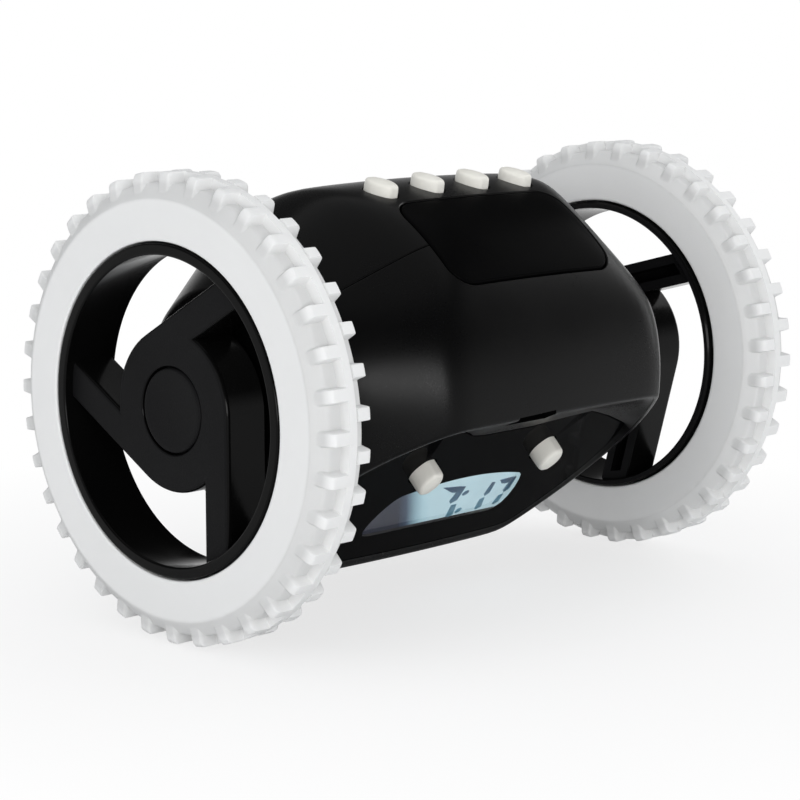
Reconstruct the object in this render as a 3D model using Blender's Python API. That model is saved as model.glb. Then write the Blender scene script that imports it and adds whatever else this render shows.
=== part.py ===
"""Rolling alarm clock: a barrel body slung on one axle line between two spoked, rubber-shod wheels.

Lengths are in millimetres and angles in degrees; a finished piece is scaled to metres.
X runs along the axle, the display faces -Y, Z is up, and the tyres stand on Z = 0.
The body is modelled upright in its own frame, centred on the axle, where an angle is measured from
the front, upwards, as seen from the left wheel. It is then pitched forward about the axle.
"""

import math

import bmesh
import bpy
from mathutils import Matrix, Vector

MM = 0.001
GAP = 0.3
OVERSHOOT = 1.0  # how far a cutter runs past what it cuts, and a joined solid into its neighbour
SHARP_ANGLE = 35.0
SIDES = {"left": -1, "right": 1}

# Whole clock
OVERALL_WIDTH = 133.35
TYRE_RADIUS = 43.2
BODY_PITCH = 40.0
WHEEL_CLEARANCE = 0.275

# Body skin: a barrel, tapered to off-centre ends, with a flat shoulder cut across each upper side
BARREL_RADIUS = 38.5
BARREL_EDGE_RADIUS = 36.6
TAPER_START = 31.5
BODY_END_RADIUS = 17.6
END_SHIFT = 3.0
END_SHIFT_START = 29.0
END_SHIFT_ANGLE = 160.0
SHOULDER_ANGLE = 91.6
SHOULDER_REACH = 83.0
SHOULDER_SLOPE = 1.58
SKIN_BLEND = 1.1
WALL = 2.0
LOFT_SHARES = (0.0, 0.2, 0.4, 0.54, 0.62, 0.7, 0.83, 1.0)
LOFT_STEP_ANGLE = 10

# Parting faces between the two shells, each a half-plane through the axle
SEAM_TOP_ANGLE = 90.0
SEAM_LOW_ANGLE = -60.0

# Face: a flat cut across the front shell, with the lens set back inside it
FACE_ANGLE = -5.0
FACE_DISTANCE = 23.8
BROW_ANGLE = -10.0
BROW_DISTANCE = 26.5
BROW_START = 12.0
LENS_RECESS = 0.3
LENS_THICKNESS = 2.0
LCD_WIDTH = 46.4
LCD_HEIGHT = 18.0
LCD_THICKNESS = 2.3
LCD_DROP = 11.5
BACKLIGHT_THICKNESS = 2.2
BOARD_THICKNESS = 1.6
MAIN_BOARD_WIDTH = 47.0
MAIN_BOARD_TOP = 10.5
MAIN_BOARD_BOTTOM = -9.0
CHIP_SIZE = (9.0, 7.0)
CHIP_THICKNESS = 1.4
CHIP_RISE = 6.2
SWITCH_SIZE = 6.0
SWITCH_HEIGHT = 1.8
SWITCH_SINK = 0.4

# Keys
KEY_CORNER = 2.4
KEY_GAP = 0.35
KEY_CROWN = 0.8
FRONT_KEY_WIDTH = 7.6
FRONT_KEY_HEIGHT = 6.2
FRONT_KEY_SPACING = 33.2
FRONT_KEY_RISE = 3.2
FRONT_KEY_PROUD = 3.6
FRONT_KEY_LIP = 0.8
FRONT_KEY_FLANGE = 1.2
TOP_KEY_COUNT = 4
TOP_KEY_WIDTH = 9.0
TOP_KEY_HEIGHT = 7.0
TOP_KEY_PITCH = 12.6
TOP_KEY_ANGLE = 118.0
TOP_KEY_PROUD = 2.3
TOP_KEY_LIP = 0.5
TOP_KEY_FLANGE = 1.0
SNOOZE_ANGLE = 92.5
SNOOZE_WIDTH = 44.0
SNOOZE_HEIGHT = 22.0
SNOOZE_CORNER = 4.5
SNOOZE_LIP = 1.2
SNOOZE_LIP_THICKNESS = 1.0
SNOOZE_REAR_SETBACK = 2.0
SNOOZE_THICKNESS = 2.6
SNOOZE_POST_RADIUS = 2.0
SNOOZE_POST_END = 31.4
SNOOZE_POST_SINK = 0.5
KEY_BOARD_ANGLE = 104.0
KEY_BOARD_DISTANCE = 27.2
KEY_BOARD_HEIGHT = 26.0
KEY_BOARD_RIB = 1.6
KEY_BOARD_RIB_RISE = 10.6
KEY_BOARD_RIB_SETBACK = 0.2

# Power: four AAA cells in a square block behind a cover in the rear shell
CELL_RADIUS = 5.25
CELL_LENGTH = 44.5
CELL_NUB_RADIUS = 1.9
CELL_NUB_LENGTH = 1.0
CELL_PITCH = 11.1
CELLS_ANGLE = -84.0
CELLS_DISTANCE = 22.4
CONTACT_THICKNESS = 0.6
CONTACT_MARGIN = 1.0
CONTACT_COVER_MARGIN = 2.5
COVER_THICKNESS = 1.7
COVER_CORNER = 2.0
COVER_TAB_WIDTH = 12.0
COVER_TAB_LENGTH = 6.5
COVER_SCREW_REACH = 3.4
COVER_BOSS_RADIUS = 3.4
COVER_BOSS_DEPTH = 8.0
COVER_BOSS_END = 1.0
COVER_SCREW_SHORT = 1.5

# Sound
SPEAKER_ANGLE = 158.0
SPEAKER_RADIUS = 12.0
SPEAKER_THICKNESS = 4.0
SPEAKER_MAGNET_RADIUS = 7.0
SPEAKER_MAGNET_DEPTH = 4.0
SPEAKER_RING_WALL = 1.5
GRILLE_SLOTS = 5
GRILLE_SLOT_WIDTH = 1.6
GRILLE_SLOT_PITCH = 3.6
GRILLE_SLOT_SPAN = 0.8  # share of the speaker's chord

# Drive, one on each side
MOTOR_LENGTH = 21.5
MOTOR_WIDTH = 15.0
MOTOR_HEIGHT = 20.0
MOTOR_CORNER = 4.0
MOTOR_FRONT = 7.6
MOTOR_RISE = 15.8
MOTOR_SHAFT_RADIUS = 1.0
MOTOR_SHAFT_DEPTH = 4.0
MOTOR_BORE_DEPTH = 5.0
FRAME_CLEARANCE = 1.0
FRAME_THICKNESS = 2.0
GEAR_MODULE = 0.8
GEAR_TIP_SHARE = 0.8  # share of the module above the pitch circle
GEAR_ROOT_SHARE = 1.15  # share of the module below it
TOOTH_TIP_SHARE = 0.1  # half a tooth's width at its tip, as a share of the pitch
TOOTH_ROOT_SHARE = 0.26
PINION_TEETH = 8
IDLER_LARGE_TEETH = 24
IDLER_SMALL_TEETH = 10
OUTPUT_TEETH = 30
GEAR_WIDTH = 2.6
GEAR_SPACING = 0.4
IDLER_PIN_RADIUS = 1.2
RUNNING_FIT = 0.1
AXLE_RADIUS = 2.0
AXLE_FLAT_DEPTH = 0.5
AXLE_FLAT_SETBACK = 0.5
BUSHING_RADIUS = 4.5
BUSHING_LENGTH = 5.0
BUSHING_PROUD = 0.4
COLLAR_WALL = 2.2

# Fasteners
BOSS_RADIUS = 3.6
BOSS_END = 0.8
SCREW_RADIUS = 1.2
SCREW_HEAD_RADIUS = 2.4
SCREW_HEAD_HEIGHT = 1.6
SCREW_HOLE_RADIUS = 1.5
SCREW_WELL_RADIUS = 3.0
SCREW_WELL_WALL = 1.4
SCREW_WELL_FLOOR = 5.0
SCREW_BITE = 4.5
HOUSING_SCREW_X = 38.5
HOUSING_SCREW_OUT = {"top": 22.3, "low": 23.8}

# Wheels
TYRE_WIDTH = 11.7
TYRE_SEAT_RADIUS = 30.8
TYRE_SIDEWALL_RADIUS = 38.5
TYRE_CARCASS_RADIUS = 41.2
TYRE_SHOULDER = 1.9
TYRE_BAND_START = 5.1
TYRE_BAND_WIDTH = 1.7
TYRE_BAND_DROP = 0.15
LUG_COUNT = 36
LUG_WIDTH = 2.6
LUG_EDGE = 0.9
LUG_CHAMFER = 1.0
LUG_SINK = 0.5
LUG_OVERLAP = 0.2
HUB_WIDTH = 12.7
HUB_FRONT_BORE = 28.3
HUB_BACK_BORE = 29.2
HUB_FACE_DEPTH = 2.06
HUB_BACK_DEPTH = 11.2
HUB_DISC_RADIUS = 15.1
HUB_SHELL = 2.0
SPOKE_COUNT = 3
SPOKE_INNER_OFFSET = 8.6
SPOKE_TURN = {"left": 30.0, "right": 15.0}
CAP_RADIUS = 7.8
CAP_THICKNESS = 1.6
CAP_EDGE = 0.3
CAP_RIM = 1.2
CAP_DISH = 0.2
HUB_BOSS_RADIUS = 10.0
HUB_BOSS_DEPTH = 4.6
HUB_SOCKET_RADIUS = 4.6
WHEEL_SCREW_RADIUS = 0.9
WHEEL_SCREW_LENGTH = 5.0

# Derived places
WIDE = 200.0
WHEEL_FACE = OVERALL_WIDTH / 2
BODY_HALF_WIDTH = WHEEL_FACE - HUB_WIDTH - WHEEL_CLEARANCE
LENS_FRONT = FACE_DISTANCE - LENS_RECESS
LENS_BACK = LENS_FRONT - LENS_THICKNESS
LCD_FRONT = LENS_BACK - GAP
LCD_BACK = LCD_FRONT - LCD_THICKNESS
BACKLIGHT_BACK = LCD_BACK - GAP - BACKLIGHT_THICKNESS
MAIN_BOARD_FRONT = BACKLIGHT_BACK - GAP
MAIN_BOARD_BACK = MAIN_BOARD_FRONT - BOARD_THICKNESS
CONTACT_END = CELL_LENGTH / 2 + GAP + CONTACT_THICKNESS
KEY_BOARD_END = SNOOZE_WIDTH / 2 + SNOOZE_LIP + GAP
FRAME_INNER_FACE = max(CONTACT_END, KEY_BOARD_END, MAIN_BOARD_WIDTH / 2) + FRAME_CLEARANCE
FRAME_OUTER_FACE = FRAME_INNER_FACE + FRAME_THICKNESS
LARGE_GEAR_START = FRAME_OUTER_FACE + GEAR_SPACING
SMALL_GEAR_START = LARGE_GEAR_START + GEAR_WIDTH
SMALL_GEAR_END = SMALL_GEAR_START + GEAR_SPACING + GEAR_WIDTH
OUTPUT_REACH = GEAR_MODULE * (IDLER_SMALL_TEETH + OUTPUT_TEETH) / 2
PINION_REACH = GEAR_MODULE * (PINION_TEETH + IDLER_LARGE_TEETH) / 2
HUB_FACE = WHEEL_FACE - HUB_FACE_DEPTH
HUB_BACK = WHEEL_FACE - HUB_BACK_DEPTH
CAP_SEAT = HUB_FACE - CAP_THICKNESS - GAP
SCREW_SEAT = CAP_SEAT - GAP - SCREW_HEAD_HEIGHT


def clear_scene():
    for thing in list(bpy.data.objects):
        bpy.data.objects.remove(thing, do_unlink=True)


def empty_at(name, location, pitch=0.0):
    anchor = bpy.data.objects.new(name, None)
    anchor.location = Vector(location) * MM
    anchor.rotation_euler.x = math.radians(pitch)
    bpy.context.scene.collection.objects.link(anchor)
    return anchor


def material(name, colour, roughness, metallic=0.0):
    made = bpy.data.materials.new(name)
    made.use_nodes = True
    shader = made.node_tree.nodes["Principled BSDF"]
    shader.inputs["Base Color"].default_value = (*colour, 1.0)
    shader.inputs["Roughness"].default_value = roughness
    shader.inputs["Metallic"].default_value = metallic
    return made


# Frames: each maps (a, b, c) to the body's own coordinates, and shapes are drawn in a and b along c

def frame_of(a_axis, b_axis, c_axis, origin):
    columns = Matrix((a_axis, b_axis, c_axis)).transposed().to_4x4()
    columns.translation = Vector(origin)
    return columns


def axle_frame(side=1, front=0.0, up=0.0):
    """Along the axle: a runs to the front, b up and c outwards to the given side."""
    return frame_of((0, -1, 0), (0, 0, 1), (side, 0, 0), (0, -front, up))


def outward_frame(angle, x=0.0):
    """Across the axle: a runs along X, b round the body with the angle and c outwards."""
    front, up = math.cos(math.radians(angle)), math.sin(math.radians(angle))
    return frame_of((1, 0, 0), (0, up, front), (0, -front, up), (x, 0, 0))


def seam_frame(angle, rearward, x, out):
    """Square to a parting face, at a distance out along it, with c towards the rear shell."""
    frame = outward_frame(angle + 90 * rearward, x)
    frame.translation = outward_frame(angle, x) @ Vector((0, 0, out))
    return frame


# Outlines

def circle(radius, count=24, centre=(0.0, 0.0)):
    turns = [2 * math.pi * k / count for k in range(count)]
    return [(centre[0] + radius * math.cos(t), centre[1] + radius * math.sin(t)) for t in turns]


def rectangle(low_a, high_a, low_b, high_b):
    return [(low_a, low_b), (high_a, low_b), (high_a, high_b), (low_a, high_b)]


def rounded_rectangle(width, height, radius, grow=0.0, steps=2):
    half_a, half_b, corner = width / 2 + grow, height / 2 + grow, radius + grow
    outline = []
    for quarter, (sign_a, sign_b) in enumerate(((1, 1), (-1, 1), (-1, -1), (1, -1))):
        for step in range(steps + 1):
            turn = math.radians(90 * (quarter + step / steps))
            outline.append(
                (
                    sign_a * (half_a - corner) + corner * math.cos(turn),
                    sign_b * (half_b - corner) + corner * math.sin(turn),
                )
            )
    return outline


def gear_outline(teeth, phase):
    """Thin trapezoid teeth, with backlash, one of them centred on the phase angle."""
    pitch_radius = GEAR_MODULE * teeth / 2
    root = pitch_radius - GEAR_ROOT_SHARE * GEAR_MODULE
    tip = pitch_radius + GEAR_TIP_SHARE * GEAR_MODULE
    step = 360 / teeth
    flank = (
        (-TOOTH_ROOT_SHARE, root),
        (-TOOTH_TIP_SHARE, tip),
        (TOOTH_TIP_SHARE, tip),
        (TOOTH_ROOT_SHARE, root),
    )
    places = [(phase + (k + share) * step, radius) for k in range(teeth) for share, radius in flank]
    return [(r * math.cos(math.radians(t)), r * math.sin(math.radians(t))) for t, r in places]


# Solids

def solid_from(shape):
    bmesh.ops.recalc_face_normals(shape, faces=shape.faces)
    mesh = bpy.data.meshes.new("solid")
    shape.to_mesh(mesh)
    shape.free()
    made = bpy.data.objects.new("solid", mesh)
    bpy.context.scene.collection.objects.link(made)
    return made


def add_stack(shape, sections, frame):
    """Joins outlines of equal count, each at its own c, into one closed body with flat ends."""
    rings = [[shape.verts.new(frame @ Vector((a, b, c))) for a, b in outline] for outline, c in sections]
    for lower, upper in zip(rings, rings[1:]):
        for k in range(len(lower)):
            shape.faces.new((lower[k - 1], lower[k], upper[k], upper[k - 1]))
    shape.faces.new(rings[0])
    shape.faces.new(rings[-1])


def stack(sections, frame):
    shape = bmesh.new()
    add_stack(shape, sections, frame)
    return solid_from(shape)


def prism(outline, low, high, frame):
    return stack(((outline, low), (outline, high)), frame)


def rod(steps, frame, count=24):
    """Solid of revolution without a bore, from (radius, c) steps."""
    return stack([(circle(radius, count), c) for radius, c in steps], frame)


def turned(profile, frame, count):
    """Ring with the closed (radius, c) profile, turned about c."""
    shape = bmesh.new()
    rings = [
        [shape.verts.new(frame @ Vector((a, b, c))) for a, b in circle(radius, count)]
        for radius, c in profile
    ]
    for lower, upper in zip([rings[-1], *rings], rings):
        for k in range(count):
            shape.faces.new((lower[k - 1], lower[k], upper[k], upper[k - 1]))
    return solid_from(shape)


def combine(target, tool, operation):
    """Applies one Boolean, with the manifold solver: the exact one left these shells open at a few edges."""
    modifier = target.modifiers.new("Boolean", "BOOLEAN")
    modifier.operation = operation
    modifier.solver = "MANIFOLD"
    modifier.object = tool
    bpy.context.view_layer.update()
    graph = bpy.context.evaluated_depsgraph_get()
    made = bpy.data.meshes.new_from_object(target.evaluated_get(graph))
    target.modifiers.clear()
    target.data = made
    bpy.data.objects.remove(tool, do_unlink=True)
    return target


def weld(target, *tools):
    for tool in tools:
        combine(target, tool, "UNION")
    return target


def carve(target, *tools):
    for tool in tools:
        combine(target, tool, "DIFFERENCE")
    return target


def keep(target, *tools):
    for tool in tools:
        combine(target, tool, "INTERSECT")
    return target


def piece(solid, name, finish, parent, origin=(0.0, 0.0, 0.0)):
    """Scales a finished solid to metres, and gives it its name, material, origin and parent."""
    solid.name = solid.data.name = name
    solid.data.materials.clear()
    solid.data.materials.append(finish)
    solid.data.transform(Matrix.Scale(MM, 4) @ Matrix.Translation(-Vector(origin)))
    solid.location = Vector(origin) * MM
    solid.data.shade_smooth()
    solid.data.set_sharp_from_angle(angle=math.radians(SHARP_ANGLE))
    solid.parent = parent
    return solid


# Body skin

def soft_least(values):
    least = min(values)
    spread = sum(math.exp((least - value) / SKIN_BLEND) for value in values)
    return least - SKIN_BLEND * math.log(spread)


def skin_radius(x, angle):
    """Distance of the outer skin from the axle, at a place along it and an angle from the front."""
    reach = abs(x)
    fall = BARREL_RADIUS - BARREL_EDGE_RADIUS
    barrel = BARREL_RADIUS - fall * (reach / TAPER_START) ** 2
    share = (reach - TAPER_START) / (BODY_HALF_WIDTH - TAPER_START)
    cone = BARREL_EDGE_RADIUS + share * (BODY_END_RADIUS - BARREL_EDGE_RADIUS)
    shift = END_SHIFT * max(0.0, reach - END_SHIFT_START) / (BODY_HALF_WIDTH - END_SHIFT_START)
    off = math.radians(angle - END_SHIFT_ANGLE)
    taper = shift * math.cos(off) + math.sqrt(cone**2 - (shift * math.sin(off)) ** 2)
    lean = max(0.01, math.cos(math.radians(angle - SHOULDER_ANGLE)))
    shoulder = (SHOULDER_REACH - reach) / (SHOULDER_SLOPE * lean)
    return soft_least((barrel, taper, shoulder))


def inset_radius(x, angle, inset):
    """Distance from the axle of a surface that lies this far inside the skin."""
    span = 1.0
    slope = (skin_radius(x + span / 2, angle) - skin_radius(x - span / 2, angle)) / span
    return skin_radius(x, angle) - inset * math.hypot(1, slope)


def body_solid(inset):
    """The whole body as one closed solid, shrunk inwards by the inset."""
    half_width = BODY_HALF_WIDTH - inset
    shares = [-share for share in LOFT_SHARES[:0:-1]] + list(LOFT_SHARES)
    turns = range(-90, 270, LOFT_STEP_ANGLE)
    sections = []
    for share in shares:
        x = share * half_width
        places = [(inset_radius(x, turn, inset), math.radians(turn)) for turn in turns]
        sections.append(([(r * math.cos(t), r * math.sin(t)) for r, t in places], x))
    shape = bmesh.new()
    add_stack(shape, sections, axle_frame())
    bmesh.ops.triangulate(shape, faces=shape.faces)
    return solid_from(shape)


def skin_patch(outline, angle, outer_inset, inner_inset, x=0.0):
    """The part of the body between two insets that lies over an outline drawn square to an angle."""
    patch = prism(outline, 0.0, WIDE, outward_frame(angle, x))
    keep(patch, body_solid(outer_inset))
    return carve(patch, body_solid(inner_inset))


def front_wedge(growth):
    """Everything between the two parting faces, on the front side, grown by this much at each."""
    low, top = SEAM_LOW_ANGLE, SEAM_TOP_ANGLE
    middle, half = math.radians((low + top) / 2), math.radians((top - low) / 2)
    apex = -growth / math.sin(half)
    start = (apex * math.cos(middle), apex * math.sin(middle))
    turns = [math.radians(low + (top - low) * k / 4) for k in range(5)]
    outline = [start] + [(start[0] + WIDE * math.cos(t), start[1] + WIDE * math.sin(t)) for t in turns]
    return prism(outline, -WIDE, WIDE, axle_frame())


def ahead_of_face(distance):
    return prism(rectangle(-WIDE, WIDE, -WIDE, WIDE), distance, WIDE, outward_frame(FACE_ANGLE))


def ahead_of_brow():
    return prism(rectangle(-WIDE, WIDE, -WIDE, WIDE), BROW_DISTANCE, WIDE, outward_frame(BROW_ANGLE))


# Places that several pieces share

def top_key_places():
    return [TOP_KEY_PITCH * (k - (TOP_KEY_COUNT - 1) / 2) for k in range(TOP_KEY_COUNT)]


def snooze_outline(grow=0.0):
    return rounded_rectangle(SNOOZE_WIDTH, SNOOZE_HEIGHT, SNOOZE_CORNER, grow)


def cell_places():
    """Centre of each cell: (along the angle's outward direction, across it)."""
    half = CELL_PITCH / 2
    return [(CELLS_DISTANCE + out * half, across * half) for out in (1, -1) for across in (1, -1)]


def cover_outline(grow=0.0):
    return rounded_rectangle(2 * CONTACT_END, CELL_PITCH + 2 * CELL_RADIUS, COVER_CORNER, grow)


def cover_edge():
    return CELL_PITCH / 2 + CELL_RADIUS


def tab_outline(grow=0.0):
    """The cover's screw tab, which reaches back over the shell from the cover's edge."""
    half, end = COVER_TAB_WIDTH / 2 + grow, cover_edge() + COVER_TAB_LENGTH + grow
    return rectangle(-half, half, -end, -cover_edge() + OVERSHOOT)


def idler_centre():
    """Where the idler's pin stands: in mesh with the output gear and the motor's pinion."""
    distance = math.hypot(MOTOR_FRONT, MOTOR_RISE)
    cosine = (OUTPUT_REACH**2 + distance**2 - PINION_REACH**2) / (2 * OUTPUT_REACH * distance)
    turn = math.atan2(MOTOR_RISE, MOTOR_FRONT) + math.acos(cosine)
    return OUTPUT_REACH * math.cos(turn), OUTPUT_REACH * math.sin(turn)


def direction(start, end):
    return math.degrees(math.atan2(end[1] - start[1], end[0] - start[0]))


def housing_screws():
    """Frame and name of each screw that holds the shells together."""
    places = (("top", SEAM_TOP_ANGLE, 1), ("low", SEAM_LOW_ANGLE, -1))
    for level, angle, rearward in places:
        for side in SIDES.values():
            yield seam_frame(angle, rearward, side * HOUSING_SCREW_X, HOUSING_SCREW_OUT[level])


# Shells

def whole_shell():
    shell = carve(body_solid(0.0), body_solid(WALL))
    collar = BUSHING_RADIUS + GAP + COLLAR_WALL
    for side in SIDES.values():
        start, end = BODY_HALF_WIDTH - BUSHING_LENGTH, BODY_HALF_WIDTH - WALL / 2
        weld(shell, rod(((collar, start), (collar, end)), axle_frame(side)))
        seat = BUSHING_RADIUS + GAP
        hole = ((seat, start - OVERSHOOT), (seat, BODY_HALF_WIDTH + OVERSHOOT))
        carve(shell, rod(hole, axle_frame(side)))
    carve(shell, prism(snooze_outline(KEY_GAP), 0.0, WIDE, outward_frame(SNOOZE_ANGLE)))
    return shell


def front_shell(finish, parent):
    shell = keep(whole_shell(), front_wedge(-GAP / 2))
    carve(shell, ahead_of_brow())
    below_brow = rectangle(-WIDE, WIDE, -WIDE, BROW_START)
    carve(shell, prism(below_brow, FACE_DISTANCE, WIDE, outward_frame(FACE_ANGLE)))
    for frame in housing_screws():
        hole_end = SCREW_BITE + GAP
        boss = rod(((BOSS_RADIUS, -GAP / 2), (BOSS_RADIUS, -hole_end - BOSS_END)), frame, 12)
        weld(shell, carve(keep(boss, body_solid(WALL / 2)), ahead_of_face(LENS_BACK - GAP)))
        carve(shell, rod(((SCREW_HOLE_RADIUS, OVERSHOOT), (SCREW_HOLE_RADIUS, -hole_end)), frame, 12))
    piece(shell, "front_shell", finish, parent)


def rear_shell(finish, parent):
    shell = carve(whole_shell(), front_wedge(GAP / 2))
    for frame in housing_screws():
        wall = SCREW_WELL_RADIUS + SCREW_WELL_WALL
        hole_end = SCREW_WELL_FLOOR + OVERSHOOT
        well = rod(((wall, GAP / 2), (wall, WIDE)), frame, 12)
        weld(shell, keep(well, body_solid(WALL / 2)))
        carve(
            shell,
            rod(((SCREW_WELL_RADIUS, SCREW_WELL_FLOOR), (SCREW_WELL_RADIUS, WIDE)), frame, 12),
            rod(((SCREW_HOLE_RADIUS, -OVERSHOOT), (SCREW_HOLE_RADIUS, hole_end)), frame, 12),
        )
    key_hole = rounded_rectangle(TOP_KEY_WIDTH, TOP_KEY_HEIGHT, KEY_CORNER, KEY_GAP)
    for x in top_key_places():
        carve(shell, prism(key_hole, 0.0, WIDE, outward_frame(TOP_KEY_ANGLE, x)))
    for k in (-1, 0, 1):
        low, half = KEY_BOARD_DISTANCE + GAP, KEY_BOARD_RIB / 2
        end = KEY_BOARD_HEIGHT / 2 - KEY_BOARD_RIB_SETBACK
        outline = rectangle(-half, half, KEY_BOARD_RIB_RISE, end)
        rib = prism(outline, low, WIDE, outward_frame(KEY_BOARD_ANGLE, k * TOP_KEY_PITCH))
        weld(shell, keep(rib, body_solid(WALL / 2)))
    add_cover_seat(shell)
    add_speaker_seat(shell)
    piece(shell, "rear_shell", finish, parent)


def add_cover_seat(shell):
    """Cuts the cells' opening and the tab's recess, and stands the screw's boss under the tab."""
    reach = cover_edge() + COVER_SCREW_REACH
    boss_outline = circle(COVER_BOSS_RADIUS, 16, (0.0, -reach))
    weld(shell, skin_patch(boss_outline, CELLS_ANGLE, WALL / 2, COVER_BOSS_DEPTH))
    carve(shell, prism(cover_outline(GAP), 0.0, WIDE, outward_frame(CELLS_ANGLE)))
    carve(shell, skin_patch(tab_outline(GAP), CELLS_ANGLE, -OVERSHOOT, COVER_THICKNESS + GAP))
    hole = circle(SCREW_HOLE_RADIUS, 12, (0.0, -reach))
    carve(shell, skin_patch(hole, CELLS_ANGLE, -OVERSHOOT, COVER_BOSS_DEPTH - COVER_BOSS_END))


def speaker_front():
    edge = SPEAKER_RADIUS + SPEAKER_RING_WALL
    return math.sqrt(inset_radius(edge, SPEAKER_ANGLE, WALL) ** 2 - edge**2) - GAP


def add_speaker_seat(shell):
    """A round wall that holds the speaker, and the slots in front of it."""
    frame = outward_frame(SPEAKER_ANGLE)
    inner = SPEAKER_RADIUS + GAP
    outer, low = inner + SPEAKER_RING_WALL, speaker_front() - SPEAKER_THICKNESS
    ring = turned(((inner, low), (inner, WIDE), (outer, WIDE), (outer, low)), frame, 20)
    weld(shell, keep(ring, body_solid(WALL / 2)))
    for k in range(GRILLE_SLOTS):
        across = GRILLE_SLOT_PITCH * (k - (GRILLE_SLOTS - 1) / 2)
        half = GRILLE_SLOT_SPAN * math.sqrt(SPEAKER_RADIUS**2 - across**2)
        low_b, high_b = across - GRILLE_SLOT_WIDTH / 2, across + GRILLE_SLOT_WIDTH / 2
        carve(shell, prism(rectangle(-half, half, low_b, high_b), speaker_front(), WIDE, frame))


# Face, display and boards

def front_key_outline(grow=0.0):
    return rounded_rectangle(FRONT_KEY_WIDTH, FRONT_KEY_HEIGHT, KEY_CORNER, grow)


def front_key_frame(side):
    frame = outward_frame(FACE_ANGLE, side * FRONT_KEY_SPACING / 2)
    return frame @ Matrix.Translation((0, FRONT_KEY_RISE, 0))


def face_lens(finish, parent):
    lens = prism(rectangle(-WIDE, WIDE, -WIDE, WIDE), LENS_BACK, LENS_FRONT, outward_frame(FACE_ANGLE))
    keep(lens, body_solid(WALL + GAP))
    for side in SIDES.values():
        carve(lens, prism(front_key_outline(KEY_GAP), 0.0, WIDE, front_key_frame(side)))
    piece(lens, "face_lens", finish, parent)


def display(glass, light, parent):
    frame = outward_frame(FACE_ANGLE)
    half, low, high = LCD_WIDTH / 2, -LCD_DROP - LCD_HEIGHT / 2, -LCD_DROP + LCD_HEIGHT / 2
    outline = rectangle(-half, half, low, high)
    piece(prism(outline, LCD_BACK, LCD_FRONT, frame), "lcd_glass", glass, parent)
    piece(prism(outline, BACKLIGHT_BACK, LCD_BACK - GAP, frame), "lcd_backlight", light, parent)


def boards(green, chip_black, parent):
    frame = outward_frame(FACE_ANGLE)
    half = MAIN_BOARD_WIDTH / 2
    outline = rectangle(-half, half, MAIN_BOARD_BOTTOM, MAIN_BOARD_TOP)
    main_board = prism(outline, MAIN_BOARD_BACK, MAIN_BOARD_FRONT, frame)
    switch = SWITCH_SIZE / 2
    for side in SIDES.values():
        outline = rectangle(-switch, switch, -switch, switch)
        top = MAIN_BOARD_FRONT + SWITCH_HEIGHT
        weld(main_board, prism(outline, MAIN_BOARD_FRONT - SWITCH_SINK, top, front_key_frame(side)))
    piece(main_board, "main_board", green, parent)

    low = MAIN_BOARD_FRONT + GAP
    wide, high = CHIP_SIZE[0] / 2, CHIP_SIZE[1] / 2
    outline = rectangle(-wide, wide, CHIP_RISE - high, CHIP_RISE + high)
    piece(prism(outline, low, low + CHIP_THICKNESS, frame), "controller_chip", chip_black, parent)

    frame = outward_frame(KEY_BOARD_ANGLE)
    edge = KEY_BOARD_HEIGHT / 2
    low = KEY_BOARD_DISTANCE - BOARD_THICKNESS
    outline = rectangle(-KEY_BOARD_END, KEY_BOARD_END, -edge, edge)
    key_board = prism(outline, low, KEY_BOARD_DISTANCE, frame)
    places = [(x, TOP_KEY_ANGLE) for x in top_key_places()] + [(0.0, SNOOZE_ANGLE)]
    for x, angle in places:
        rise = KEY_BOARD_DISTANCE * math.tan(math.radians(angle - KEY_BOARD_ANGLE))
        outline = rectangle(x - switch, x + switch, rise - switch, rise + switch)
        top = KEY_BOARD_DISTANCE + SWITCH_HEIGHT
        weld(key_board, prism(outline, KEY_BOARD_DISTANCE - SWITCH_SINK, top, frame))
    piece(key_board, "key_board", green, parent)


# Keys

def key_cap(outline_at, width, height, low, top, frame):
    """A key's cap: straight sides with a crowned top edge."""
    crown = rounded_rectangle(width - 2 * KEY_CROWN, height - 2 * KEY_CROWN, KEY_CORNER - KEY_CROWN)
    return stack(((outline_at, low), (outline_at, top - KEY_CROWN), (crown, top)), frame)


def front_keys(finish, parent):
    for name, side in SIDES.items():
        frame = front_key_frame(side)
        flange_top = LENS_BACK - GAP
        low = flange_top - FRONT_KEY_FLANGE
        top = LENS_FRONT + FRONT_KEY_PROUD
        key = key_cap(front_key_outline(), FRONT_KEY_WIDTH, FRONT_KEY_HEIGHT, low, top, frame)
        half = FRONT_KEY_WIDTH / 2 + FRONT_KEY_LIP
        rise = FRONT_KEY_HEIGHT / 2
        weld(key, prism(rectangle(-half, half, -rise, rise), low, flange_top, frame))
        piece(key, f"front_key_{name}", finish, parent, frame @ Vector((0, 0, LENS_FRONT)))


def top_keys(finish, parent):
    outline = rounded_rectangle(TOP_KEY_WIDTH, TOP_KEY_HEIGHT, KEY_CORNER)
    half = TOP_KEY_WIDTH / 2 + TOP_KEY_LIP
    rise = TOP_KEY_HEIGHT / 2 + TOP_KEY_LIP / 2
    for number, x in enumerate(top_key_places(), 1):
        frame = outward_frame(TOP_KEY_ANGLE, x)
        near_shoulder = TOP_KEY_ANGLE - math.degrees(math.asin(rise / BARREL_RADIUS))
        room = inset_radius(abs(x) + half, near_shoulder, WALL) - 1.5 * GAP
        flange_top = math.sqrt(room**2 - rise**2)
        low = flange_top - TOP_KEY_FLANGE
        top = skin_radius(x, TOP_KEY_ANGLE) + TOP_KEY_PROUD
        key = key_cap(outline, TOP_KEY_WIDTH, TOP_KEY_HEIGHT, low, top, frame)
        weld(key, prism(rectangle(-half, half, -rise, rise), low, flange_top, frame))
        piece(key, f"top_key_{number}", finish, parent, frame @ Vector((0, 0, top)))


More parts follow.
